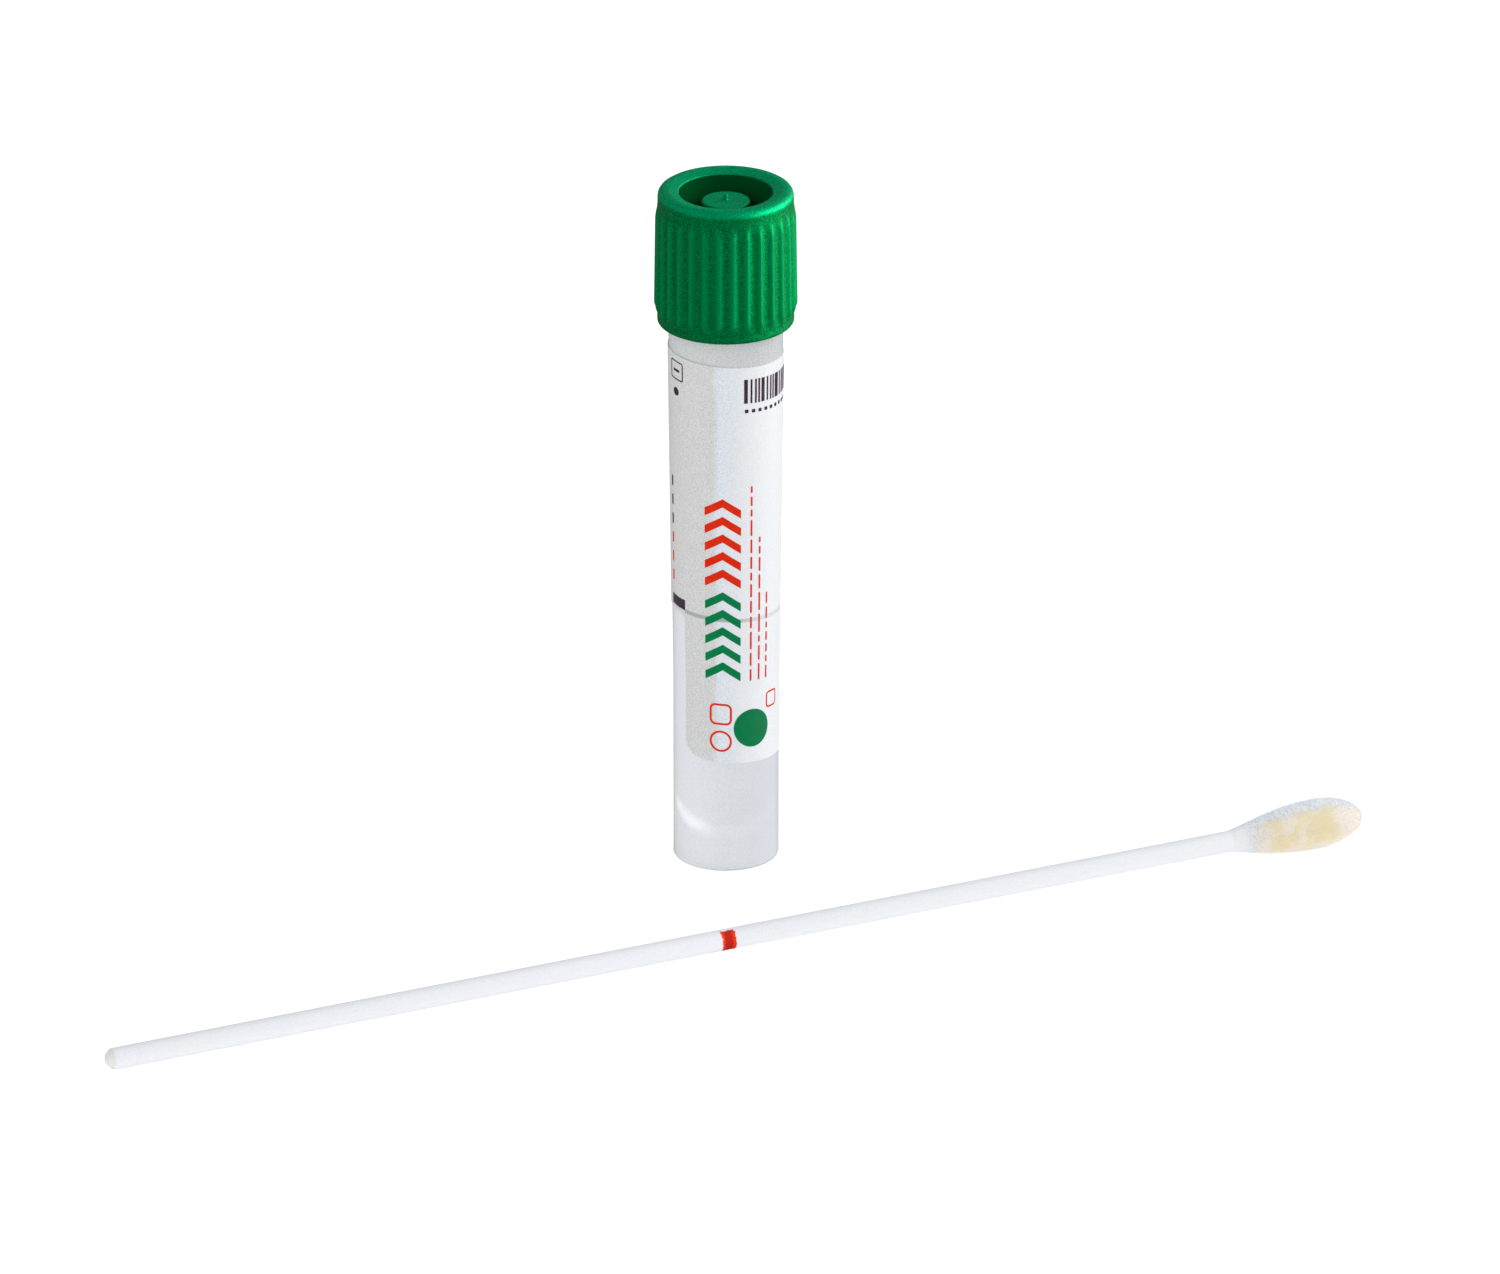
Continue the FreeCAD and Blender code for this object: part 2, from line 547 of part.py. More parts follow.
def make_tip():
    """The fibre coat round the end of the stick: an elliptical nose and a long, slightly bowed taper."""
    body = new_body("swab_tip")
    profile = new_sketch(body, "tip_profile")
    fat, end = number(TIP_FAT), number("sizes.swab_length")
    nose, radius = number("sizes.tip_nose"), number("sizes.tip_radius")
    start = Vector(number(COAT_START), number(COAT_RADIUS), 0)
    run, fall = fat - start.x, radius - start.y
    bow = (run * run + fall * fall) / (2 * fall)
    bow_circle = Part.Circle(Vector(fat, radius - bow, 0), Vector(0, 0, 1), bow)
    taper_turn = math.asin(run / bow)
    quarter = math.pi / 2
    nose_ellipse = Part.Ellipse(Vector(fat, 0, 0), nose, radius)
    core_end, shaft = number(CORE_END), number("sizes.shaft_radius")
    profile.addGeometry([
        Part.ArcOfEllipse(nose_ellipse, 0, quarter),
        Part.ArcOfCircle(bow_circle, quarter, quarter + taper_turn),
        Part.LineSegment(start, Vector(start.x, shaft, 0)),
        Part.LineSegment(Vector(start.x, shaft, 0), Vector(core_end, shaft, 0)),
        Part.LineSegment(Vector(core_end, shaft, 0), Vector(core_end, 0, 0)),
        Part.LineSegment(Vector(core_end, 0, 0), Vector(end, 0, 0)),
    ], False)
    # Ends in order round the outline: each line or arc meets the next one.
    for first, after in ((0, 1), (1, 2), (2, 3), (3, 4), (4, 5), (5, 0)):
        profile.addConstraint(Sketcher.Constraint("Coincident", first, 2, after, 1))
    profile.exposeInternalGeometry(0)
    long_axis = 6
    profile.addConstraint(Sketcher.Constraint("Horizontal", long_axis))
    pin(profile, 0, 3, TIP_FAT, "0")
    pin(profile, 0, 1, "sizes.swab_length", "0")
    pin(profile, 1, 1, TIP_FAT, "sizes.tip_radius")
    pin(profile, 2, 1, COAT_START, COAT_RADIUS)
    pin(profile, 3, 1, COAT_START, "sizes.shaft_radius")
    pin(profile, 4, 1, CORE_END, "sizes.shaft_radius")
    pin(profile, 5, 1, CORE_END, "0")
    bind(profile, Sketcher.Constraint("DistanceX", -1, 1, 1, 3, fat), TIP_FAT)
    revolve(body, "tip_coat", profile, "H_Axis")
    lay_down(body)
    return body


makers = (make_tube, make_label, make_medium, make_seal_ring, make_cap, make_shaft, make_tip)
parts = [make() for make in makers]
doc.recompute()

for item in doc.Objects:
    if "Invalid" in item.State or "Error" in item.State:
        raise RuntimeError(f"{item.Label} failed: {item.State}")
for part in parts:
    if part.Shape.isNull() or not part.Shape.isValid() or not part.Shape.Solids:
        raise RuntimeError(f"{part.Label} has no valid solid")

os.makedirs("parts", exist_ok=True)
for part in parts:
    part.Shape.exportStep(f"parts/{part.Label}.step")
    print(f"{part.Label}: {len(part.Shape.Solids)} solid, {part.Shape.Volume:.1f} mm3")
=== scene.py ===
# %% [markdown]
# # A sample tube with its swab
# A laboratory tube of clear-milky plastic stands on its own skirt under a green screw cap. A printed
# film label goes round it, and a flocked swab lies on the bench in front of it. The shapes come from
# a finished CAD model, so this lesson is about the dress: plastics, film, inks and fibres.
# Lengths are in metres, as in the model, and `MM` turns millimetres into them.

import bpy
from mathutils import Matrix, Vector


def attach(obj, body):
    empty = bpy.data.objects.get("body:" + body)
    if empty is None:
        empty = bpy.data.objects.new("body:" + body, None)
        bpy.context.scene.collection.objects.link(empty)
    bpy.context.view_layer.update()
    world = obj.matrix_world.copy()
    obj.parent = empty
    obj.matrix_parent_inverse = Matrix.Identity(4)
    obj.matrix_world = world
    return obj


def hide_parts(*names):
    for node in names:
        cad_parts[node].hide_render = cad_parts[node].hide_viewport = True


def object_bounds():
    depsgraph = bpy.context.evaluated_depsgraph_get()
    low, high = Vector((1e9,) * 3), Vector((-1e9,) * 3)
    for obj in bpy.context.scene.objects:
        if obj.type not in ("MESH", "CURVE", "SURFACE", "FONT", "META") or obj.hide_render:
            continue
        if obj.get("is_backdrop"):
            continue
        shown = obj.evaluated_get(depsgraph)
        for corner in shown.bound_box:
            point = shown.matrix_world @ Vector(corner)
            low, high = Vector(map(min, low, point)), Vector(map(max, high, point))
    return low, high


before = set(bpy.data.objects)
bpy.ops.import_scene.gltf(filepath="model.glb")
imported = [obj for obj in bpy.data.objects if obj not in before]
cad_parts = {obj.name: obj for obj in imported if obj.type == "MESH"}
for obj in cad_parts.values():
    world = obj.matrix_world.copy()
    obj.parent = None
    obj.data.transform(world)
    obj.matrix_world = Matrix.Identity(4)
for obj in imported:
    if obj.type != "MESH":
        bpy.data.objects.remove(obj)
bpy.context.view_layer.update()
MM = 0.001

# %% [markdown]
# ## Small helpers
# Materials and Geometry Nodes are both trees of nodes, so the same helpers build both. `node` adds one
# and feeds its inputs by name, `in_order` feeds them one after the other, `maths` does a sum and `times`
# a product, `ramp` is a soft step between two values, and `blend_colour` mixes two colours. An input
# takes a plain value, a socket, or a node, whose first output is then meant. `split` takes a place
# apart, and `add_object` puts a mesh, lamp or camera into the scene.

# %% Node helpers
import math
import random
from functools import partial

import bmesh
import bpy
from mathutils import Euler, Vector


def feed(tree, socket, value):
    if isinstance(value, bpy.types.Node):
        value = value.outputs[0]
    if isinstance(value, bpy.types.NodeSocket):
        tree.links.new(value, socket)
    else:
        socket.default_value = value


def feed_named(tree, made, values):
    for name, value in values.items():
        feed(tree, made.inputs[name.replace("_", " ")], value)
    return made


def node(tree, kind, settings=None, **values):
    made = tree.nodes.new(kind)
    for name, value in (settings or {}).items():
        setattr(made, name, value)
    return feed_named(tree, made, values)


def in_order(tree, kind, values, settings=None, **named):
    """A node whose live inputs are fed in their order; returns its first live output."""
    made = node(tree, kind, settings, **named)
    for socket, value in zip([one for one in made.inputs if one.enabled], values):
        feed(tree, socket, value)
    return next(one for one in made.outputs if one.enabled)


def maths(tree, operation, *values):
    return in_order(tree, "ShaderNodeMath", values, {"operation": operation})


def times(tree, first, second):
    return maths(tree, "MULTIPLY", first, second)


def ramp(tree, value, low, high, start=0.0, end=1.0):
    return in_order(tree, "ShaderNodeMapRange", (value, low, high, start, end),
                    {"interpolation_type": "SMOOTHSTEP"})


def blend_colour(tree, amount, first, second):
    return in_order(tree, "ShaderNodeMix", (amount, first, second), {"data_type": "RGBA"})


def split(tree, vector):
    """The X, Y and Z of a place."""
    return node(tree, "ShaderNodeSeparateXYZ", Vector=vector).outputs


def add_object(name, data):
    made = bpy.data.objects.new(name, data)
    bpy.context.collection.objects.link(made)
    return made


print("helpers: feed, node, in_order, maths, times, ramp, blend_colour, split, add_object")

# %% [markdown]
# ## Camera
# The tube is looked at from a little above, along +Y, with a very long lens, so that its sides stay
# almost parallel: a product photographer takes a long lens for slim upright things.

# %% Camera
CAMERA_PLACE, AIM_POINT, FOCAL_MM = (0.002727, -2.295265, 0.991134), (0.002727, 0.0, 0.026293), 528.0
camera_data = bpy.data.cameras.new("camera")
camera_data.lens, camera_data.sensor_width = FOCAL_MM, 36.0
camera_data.clip_start, camera_data.clip_end = 0.1, 20.0
camera = add_object("camera", camera_data)
camera.location = CAMERA_PLACE
aim = Vector(AIM_POINT) - camera.location
camera.rotation_mode = "QUATERNION"
camera.rotation_quaternion = aim.to_track_quat("-Z", "Y")
bpy.context.scene.camera = camera
print("camera looks down by", round(math.degrees(math.asin(-aim.z / aim.length)), 1), "degrees")

# %% [markdown]
# ## Bench and light
# The bench is a wide white sheet. It is mostly its own colour and partly a steady white glow for the
# camera, so it reads as clean white and still takes the soft shadow. Seen from below it is clear, so
# that the underside can be looked at. A plain bright room fills in from all round. Shiny things mirror
# a dimmer bench and room, as a studio hangs grey cloth round a glossy thing so that white doesn't wash
# out its colour. The colour management stays plain, so a colour looks as it is written.

# %% Bench and room
bpy.context.scene.view_settings.view_transform = "Standard"


def seen_directly(tree):
    """1 for rays that come straight from the camera or through something clear."""
    path = node(tree, "ShaderNodeLightPath").outputs
    return maths(tree, "MAXIMUM", path["Is Camera Ray"], path["Is Transmission Ray"])


def mirrored(tree):
    """1 for rays that a shiny surface has sent on."""
    return node(tree, "ShaderNodeLightPath").outputs["Is Glossy Ray"]


bench_mesh = bpy.data.meshes.new("bench")
reach, depth = 4.0, 0.05 * MM
SHEET_TONE, SHEET_MIRRORED, SHEET_SHOWN = [(grey, grey, grey, 1) for grey in (0.93, 0.35, 0.5)]
SHEET_GLOW = 0.72
bench_mesh.from_pydata([(-reach, -reach, -depth), (reach, -reach, -depth), (reach, reach, -depth),
                        (-reach, reach, -depth)], [], [(0, 1, 2, 3)])
bench = add_object("bench", bench_mesh)
bench_look = bpy.data.materials.new("bench_white")
bench_look.use_nodes = True
tree = bench_look.node_tree
tree.nodes.clear()
sheet = node(tree, "ShaderNodeBsdfDiffuse",
             Color=blend_colour(tree, mirrored(tree), SHEET_TONE, SHEET_MIRRORED))
shown_sheet = node(tree, "ShaderNodeBsdfDiffuse", Color=SHEET_SHOWN)
glow = node(tree, "ShaderNodeEmission", Color=(1, 1, 1, 1), Strength=SHEET_GLOW)
shown = in_order(tree, "ShaderNodeAddShader", (shown_sheet, glow))
top_side = in_order(tree, "ShaderNodeMixShader", (seen_directly(tree), sheet, shown))
both_sides = in_order(tree, "ShaderNodeMixShader", (
    node(tree, "ShaderNodeNewGeometry").outputs["Backfacing"], top_side,
    node(tree, "ShaderNodeBsdfTransparent")))
feed(tree, node(tree, "ShaderNodeOutputMaterial").inputs[0], both_sides)
bench_mesh.materials.append(bench_look)
bench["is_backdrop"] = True

room = bpy.data.worlds.new("room")
room.use_nodes = True
bpy.context.scene.world = room
tree = room.node_tree
tree.nodes.clear()
ROOM_LIGHT, ROOM_MIRRORED = 0.66, 0.25
indirect = ramp(tree, mirrored(tree), 0.0, 1.0, ROOM_LIGHT, ROOM_MIRRORED)
strength = ramp(tree, seen_directly(tree), 0.0, 1.0, indirect, 1.0)
air = node(tree, "ShaderNodeBackground", Color=(0.97, 0.985, 1.0, 1), Strength=strength)
feed(tree, node(tree, "ShaderNodeOutputWorld").inputs[0], air)
print("bench and room, room light", ROOM_LIGHT)

# %% [markdown]
# ## Lamps
# A broad soft lamp stands to the right and a little behind, and a weaker one in front on the left keeps
# the shadows open. On the right hangs a card that only shows in shiny surfaces: it draws the satin sheen
# along the ribs and the shoulder and leaves matt ones alone. From the side it would burn out a glossy
# white stick, so the stick gets nearly no shine. Each place is a compass angle from the front, a height
# angle and a distance.

# %% Lamps
AIM_HEIGHT = 0.04


def soft_lamp(name, compass, rise, distance, width, height, watts, only_sheen=False):
    data = bpy.data.lights.new(name, "AREA")
    data.shape, data.size, data.size_y = "RECTANGLE", width, height
    data.energy, data.color = watts, (0.99, 0.99, 1.0)
    lamp = add_object(name, data)
    turn, lift = math.radians(compass), math.radians(rise)
    lamp.location = (distance * math.sin(turn) * math.cos(lift),
                     -distance * math.cos(turn) * math.cos(lift), distance * math.sin(lift) + AIM_HEIGHT)
    lamp.rotation_mode = "QUATERNION"
    lamp.rotation_quaternion = (Vector((0, 0, AIM_HEIGHT)) - lamp.location).to_track_quat("-Z", "Y")
    lamp.visible_diffuse = lamp.visible_transmission = not only_sheen
    print(name, "stands at", [round(v, 2) for v in lamp.location])


soft_lamp("lamp_right", 110, 25, 1.25, 0.7, 0.7, 6.5)
soft_lamp("lamp_front", -32, 10, 1.4, 0.9, 0.5, 3.4)
soft_lamp("card_right", 88, 10, 1.2, 1.4, 0.6, 54.0, only_sheen=True)

# %% [markdown]
# ## Finishes that several materials share
# Moulded plastic, film and ink all have a fine unevenness. Printed lines, the ink mark on the stick and
# the light in the tube's wall are bands with ragged edges, and ink, rubber and flock have specks. Each
# effect is a node group with named inputs, and every material places it with its own numbers. A painted
# texture could do it too, but a group has no resolution and can be changed later.

# %% Shared groups
def new_group(name, inputs, outputs):
    """A group that takes a Vector and the named numbers; returned with its input and output ends."""
    group = bpy.data.node_groups.new(name, "ShaderNodeTree")
    group.interface.new_socket("Vector", in_out="INPUT", socket_type="NodeSocketVector")
    for label, default in inputs.items():
        group.interface.new_socket(
            label, in_out="INPUT", socket_type="NodeSocketFloat").default_value = default
    for label in outputs:
        group.interface.new_socket(label, in_out="OUTPUT", socket_type="NodeSocketFloat")
    return group, group.nodes.new("NodeGroupInput").outputs, group.nodes.new("NodeGroupOutput").inputs


grain_group, given, result = new_group(
    "moulded_grain", {"Grains": 7000.0, "Clouds": 260.0}, ["Height", "Tone"])
fine = node(grain_group, "ShaderNodeTexNoise", Vector=given["Vector"], Scale=given["Grains"],
            Detail=2.0, Roughness=0.6)
broad = node(grain_group, "ShaderNodeTexNoise", Vector=given["Vector"], Scale=given["Clouds"],
             Detail=3.0, Roughness=0.5)
feed(grain_group, result["Height"], fine)
feed(grain_group, result["Tone"], ramp(grain_group, broad, 0.3, 0.7))

bands, given, result = new_group(
    "ragged_band", {"Position": 0.0, "Centre": 0.0, "Half Width": 0.001, "Raggedness": 0.0002,
                    "Softness": 0.00005, "Wander": 1700.0}, ["Mask"])
wander = node(bands, "ShaderNodeTexNoise", Vector=given["Vector"], Scale=given["Wander"],
              Detail=3.0, Roughness=0.6)
sway = times(bands, maths(bands, "SUBTRACT", wander, 0.5),
             times(bands, given["Raggedness"], 4.0))
apart = maths(bands, "ABSOLUTE", maths(bands, "SUBTRACT", given["Position"], given["Centre"]))
over = maths(bands, "SUBTRACT", maths(bands, "ADD", apart, sway), given["Half Width"])
feed(bands, result["Mask"], maths(bands, "SUBTRACT", 1.0, ramp(
    bands, over, times(bands, given["Softness"], -1.0), given["Softness"])))

dots, given, result = new_group(
    "specks", {"Spread": 900.0, "Share": 0.06, "Size": 0.22}, ["Mask"])
cells = node(dots, "ShaderNodeTexVoronoi", Vector=given["Vector"], Scale=given["Spread"])
chosen = maths(dots, "LESS_THAN", node(
    dots, "ShaderNodeSeparateColor", Color=cells.outputs["Color"]), given["Share"])
near = maths(dots, "SUBTRACT", 1.0, ramp(
    dots, cells.outputs["Distance"], times(dots, given["Size"], 0.5), given["Size"]))
feed(dots, result["Mask"], times(dots, chosen, near))
print("groups:", grain_group.name, bands.name, dots.name)

# %% [markdown]
# ## Starting a material
# Every material here starts the same way: a Principled shader, the object's own coordinates, and the
# moulded grain as a light bump. What differs is the colour, the gloss and what is laid over them. On an
# evenly lit pale surface a bump hardly shows, so `speckle` also lets the grain shift between two near
# tones. `ramp_mm` and `ramp_degrees` are soft steps along a length and round an axis. The tree helpers
# are bound to the material's own tree, so that it needn't be named in every call.

# %% Start of a material
class Look:
    """A new material with its tree, its shader and its place on the object."""

    def __init__(self, name, roughness=0.5, grains=7000.0, clouds=260.0, bump=0.25, lift=0.004):
        self.material = bpy.data.materials.new(name)
        self.material.use_nodes = True
        self.tree = self.material.node_tree
        self.shader = self.tree.nodes["Principled BSDF"]
        self.maths, self.times, self.ramp, self.mix = (
            partial(helper, self.tree) for helper in (maths, times, ramp, blend_colour))
        self.place = node(self.tree, "ShaderNodeTexCoord").outputs["Object"]
        self.grain = self.group(grain_group, Vector=self.place, Grains=grains, Clouds=clouds).outputs
        uneven = node(self.tree, "ShaderNodeBump", Strength=bump, Distance=lift * MM,
                      Height=self.grain["Height"])
        self.set(Roughness=roughness, Normal=uneven)

    def group(self, group, **values):
        made = self.tree.nodes.new("ShaderNodeGroup")
        made.node_tree = group
        return feed_named(self.tree, made, values)

    def set(self, **values):
        feed_named(self.tree, self.shader, values)

    def mask(self, group, **values):
        """What a shared group gives at this finish's own places."""
        return self.group(group, Vector=self.place, **values).outputs[0]

    def ramp_mm(self, value, low, high, *ends):
        return self.ramp(value, low * MM, high * MM, *ends)

    def ramp_degrees(self, value, low, high, *ends):
        return self.ramp(value, math.radians(low), math.radians(high), *ends)

    def speckle(self, first, second):
        """Two near tones that the moulded grain shifts between."""
        return self.mix(self.ramp(self.grain["Height"], 0.36, 0.64), first, second)

    def axes(self):
        return split(self.tree, self.place)

    def turn(self, across, behind):
        """Angle round an axis, counted from the front."""
        return self.maths("ARCTAN2", across, self.times(behind, -1.0))


def rgb(red, green, blue):
    """A colour as a maker reads it off a swatch, 0 to 255, turned into the linear light Blender mixes."""
    def linear(value):
        share = value / 255
        return share / 12.92 if share <= 0.04045 else ((share + 0.055) / 1.055) ** 2.4
    return (linear(red), linear(green), linear(blue), 1.0)


def dress(name, look):
    """Gives a node of the model a finish in place of its plain one."""
    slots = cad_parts[name].material_slots
    for one in slots:
        one.material = look.material
    print("dressed", name, "with", look.material.name, "in", len(slots), "slot")


print("to dress with: Look, rgb, dress")

# %% [markdown]
# ## The tube's frosted plastic
# Polypropylene is milky: a part of the light goes through, blurred, and most comes back from just under
# the skin. Clear glass with a frosted coat would be too clean, so this is a pale body with a small clear
# share, and the grain is its frost. Where the liquid stands behind the wall the tube is painted whiter and
# cooler, as light that the liquid sends back. Above it the tube is a touch greyer, as painted shade, so
# the colour changes at the liquid's level. Towards the right, the part below that level is painted a
# little greyer, as shade.

# %% Tube's colour
FILL_HEIGHT = 30.9 * MM
BLACK = (0, 0, 0, 1)
frost = Look("frosted_plastic", 0.2, bump=0.5, lift=0.01)
wall = frost.axes()
over_liquid = frost.ramp(wall["Z"], FILL_HEIGHT - 0.5 * MM, FILL_HEIGHT + 1.0 * MM)
# Painted light below the liquid's level and painted shade above it.
filled = frost.speckle(rgb(242, 247, 253), rgb(255, 255, 255))
empty = frost.speckle(rgb(220, 223, 221), rgb(242, 245, 245))
# Painted shade: below the liquid's level the right side turns a little greyer.
filled = frost.mix(frost.ramp_mm(wall["X"], 1.0, 5.6, 0.0, 0.5), filled, rgb(232, 236, 243))
frost.set(Base_Color=frost.mix(over_liquid, filled, empty), Transmission_Weight=0.13, IOR=1.49)
print("the colour changes at", round(FILL_HEIGHT / MM, 1), "mm")

# %% [markdown]
# ## Light inside the wall
# Near the foot, where the cone leaves the wall, light that passes through the liquid gathers into a pale
# crescent, fuller on the left. Its height rises with the square of the angle from the front. A painted
# glow under a ragged band stands for it, and an even, weaker painted glow stands for the light that the
# liquid passes on to the wall's left side. Real scattering inside the plastic would need far more light
# paths.

# %% Light in the wall
CRESCENT_SPAN, CRESCENT_RISE, CRESCENT_FOOT = math.radians(69.0), 2.35 * MM, 4.8 * MM
wall_turn = frost.maths("ABSOLUTE", frost.turn(wall["X"], wall["Y"]))
rise = frost.maths("POWER", frost.maths("DIVIDE", wall_turn, CRESCENT_SPAN), 2.0)
# The painted crescent of light: a band that rises towards the sides.
crescent_height = frost.maths("MULTIPLY_ADD", rise, CRESCENT_RISE, CRESCENT_FOOT)
crescent_band = frost.mask(bands, Position=frost.maths("SUBTRACT", wall["Z"], crescent_height),
                  Half_Width=0.8 * MM, Raggedness=0.25 * MM, Softness=0.9 * MM, Wander=900.0)
fuller_left = frost.times(frost.ramp_mm(wall["X"], -4.2, -0.6, 1.0, 0.12),
                          frost.ramp_degrees(wall_turn, 62.0, 80.0, 1.0, 0.0))
even_glow = frost.times(frost.ramp_mm(wall["X"], -5.6, 0.5, 0.19, 0.0),
                        frost.maths("SUBTRACT", 1.0, over_liquid))
light_kept = frost.maths("MAXIMUM", frost.times(crescent_band, fuller_left), even_glow)
frost.set(Emission_Color=frost.mix(light_kept, BLACK, (0.95, 0.98, 1.0, 1)), Emission_Strength=0.22)
dress("tube", frost)

# %% [markdown]
# ## The liquid
# Transport medium is a thin, nearly colourless salt solution, so it bends light as water does. Soft
# clouds in its tone keep it from looking like a solid block of glass.

# %% Liquid
clear_liquid = Look("sample_liquid", 0.06, grains=400.0, bump=0.05)
clear_liquid.set(Base_Color=clear_liquid.mix(clear_liquid.grain["Tone"], rgb(250, 252, 254),
                                             rgb(245, 250, 253)),
                 Transmission_Weight=0.4, IOR=1.33)
dress("transport_medium", clear_liquid)

# %% [markdown]
# ## The sealing ring
# Under the cap's roof lies a soft ring. It shows only once the cap is screwed off: dull, pale and a
# little dusty, as fresh rubber is.

# %% Sealing ring
rubber = Look("seal_rubber_finish", 0.75, grains=9000.0, bump=0.3)
dust = rubber.mask(dots, Spread=1500.0, Share=0.1)
rubber.set(Base_Color=rubber.mix(dust, rgb(206, 204, 196), rgb(232, 230, 224)))
dress("seal_ring", rubber)

# %% [markdown]
# ## The label's film
# The label is a satin white film, wrapped a touch askew. On the left and round the back it is warmer and
# greyer, with a soft step to the rest. Across the front the film is painted a cooler, greyer white as
# shade, and this turns into a brighter white towards the right, a painted sheen. It carries a printed fill
# line and a dark block at its end. Both follow the film, so the height that they read leans with it. A
# ragged band from the shared group gives the line the soft edge of a print roller.

# %% Label film
LABEL_TILT = math.radians(4.0)
film = Look("label_film_finish", 0.42, clouds=150.0, bump=0.3, lift=0.006)
along_film = film.axes()
film_height = film.maths("ADD", along_film["Z"], film.times(along_film["X"], math.tan(LABEL_TILT)))
film_turn = film.turn(along_film["X"], along_film["Y"])


def printed_band(look, height, centre, half, start, end, ragged):
    """A printed band on the film: a stretch of heights, between two angles round the tube."""
    band = look.mask(bands, Position=height, Centre=centre, Half_Width=half, Raggedness=ragged,
                     Softness=0.04 * MM)
    after = look.ramp_degrees(film_turn, start - 0.4, start + 0.4)
    before = look.ramp_degrees(film_turn, end - 0.4, end + 0.4, 1.0, 0.0)
    return look.times(band, look.times(after, before))


edge_sway = film.times(film.maths("SUBTRACT", film.grain["Tone"], 0.5), math.radians(5.0))
soft_turn = film.maths("ADD", film_turn, edge_sway)
# Warmer grey on the left and round the back. Across the front, painted shade turns into a painted sheen
# towards the right.
warm_grey = film.speckle(rgb(212, 212, 209), rgb(235, 235, 233))
shaded_cool = film.speckle(rgb(226, 231, 240), rgb(247, 252, 255))
sheen_white = film.speckle(rgb(244, 247, 251), rgb(255, 255, 255))
shade_to_sheen = film.mix(film.ramp_degrees(soft_turn, -8.0, 24.0), shaded_cool, sheen_white)
past_back = film.ramp_degrees(soft_turn, 120.0, 124.0)
white = film.mix(film.ramp_degrees(soft_turn, -15.0, -5.5), warm_grey, shade_to_sheen)
white = film.mix(past_back, white, warm_grey)
line = printed_band(film, film_height, FILL_HEIGHT, 0.24 * MM, -48.0, 150.0, 0.02 * MM)
block = printed_band(film, film_height, FILL_HEIGHT + 0.68 * MM, 0.62 * MM, -74.0, -48.0, 0.03 * MM)
faded = film.times(line, film.ramp_degrees(film_turn, 0.0, 38.0, 0.85, 0.3))
lined = film.mix(faded, white, rgb(168, 178, 173))
film.set(Base_Color=film.mix(block, lined, rgb(60, 38, 60)))
dress("label", film)

# %% [markdown]
# ## The prints on the label
# Print is ink that lies on the film, and it has to bend with it. The fields are drawn flat, in
# millimetres of film: across to the right, and up the tube. They are plain shapes that say nothing:
# arrows, a disc with frames, fine rows and bars. A Geometry Nodes tree then wraps them round the tube.

# %% Flat shapes
def rounded_box(across, up, width, height, radius=0.0, steps=5):
    """Corner points of a box with rounded corners, centred on (across, up), anticlockwise."""
    points = []
    for quarter, (side, rise) in enumerate(((1, 1), (-1, 1), (-1, -1), (1, -1))):
        centre = (across + side * (width / 2 - radius), up + rise * (height / 2 - radius))
        for step in range(steps if radius else 1):
            turn = math.pi / 2 * (quarter + (step / (steps - 1) if radius else 0))
            points.append((centre[0] + radius * math.cos(turn), centre[1] + radius * math.sin(turn)))
    return points


def arrow(across, up, width, height, stroke):
    """A chevron that points up the tube."""
    half = width / 2
    return [(across - half, up - height / 2), (across, up + height / 2 - stroke),
            (across + half, up - height / 2), (across + half, up - height / 2 + stroke),
            (across, up + height / 2), (across - half, up - height / 2 + stroke)]


def add_filled(drawing, outline):
    face = drawing.faces.new([drawing.verts.new((x * MM, y * MM, 0)) for x, y in outline])
    bmesh.ops.triangulate(drawing, faces=[face])


def add_frame(drawing, across, up, width, height, radius, stroke):
    """An outline with an even stroke: a ring where the radius is half of the width."""
    outer = rounded_box(across, up, width, height, radius, 9)
    inner = rounded_box(across, up, width - 2 * stroke, height - 2 * stroke, radius - stroke, 9)
    loops = [[drawing.verts.new((x * MM, y * MM, 0)) for x, y in loop] for loop in (outer, inner)]
    for index in range(len(outer)):
        after = (index + 1) % len(outer)
        drawing.faces.new((loops[0][index], loops[0][after], loops[1][after], loops[1][index]))


print("shapes: rounded_box, arrow, add_filled, add_frame")

# %% [markdown]
# ## Drawing the fields
# One flat drawing per ink, because a press also prints one colour at a time. What repeats is a loop
# with a pitch, and what should look like fine print gets its lengths from a seeded draw, so that it is
# uneven but the same on every run.

# %% Draw the fields
ARROW_X, ARROW_PITCH, ARROW_SIZE = -0.35, 2.15, (4.1, 2.3, 1.0)
drawings = {"green": bmesh.new(), "red": bmesh.new(), "dark": bmesh.new()}
for count in range(5):
    for ink, lowest in (("green", 24.6), ("red", 36.0)):
        add_filled(drawings[ink], arrow(ARROW_X, lowest + ARROW_PITCH * count, *ARROW_SIZE))
add_filled(drawings["green"], rounded_box(3.2, 17.6, 4.6, 4.6, 2.3, 17))
for frame_shape in ((-0.6, 19.3, 2.6, 2.6, 0.7, 0.24), (-0.6, 16.0, 2.6, 2.6, 1.3, 0.24),
                    (6.2, 20.6, 2.0, 2.0, 0.5, 0.2)):
    add_frame(drawings["red"], *frame_shape)

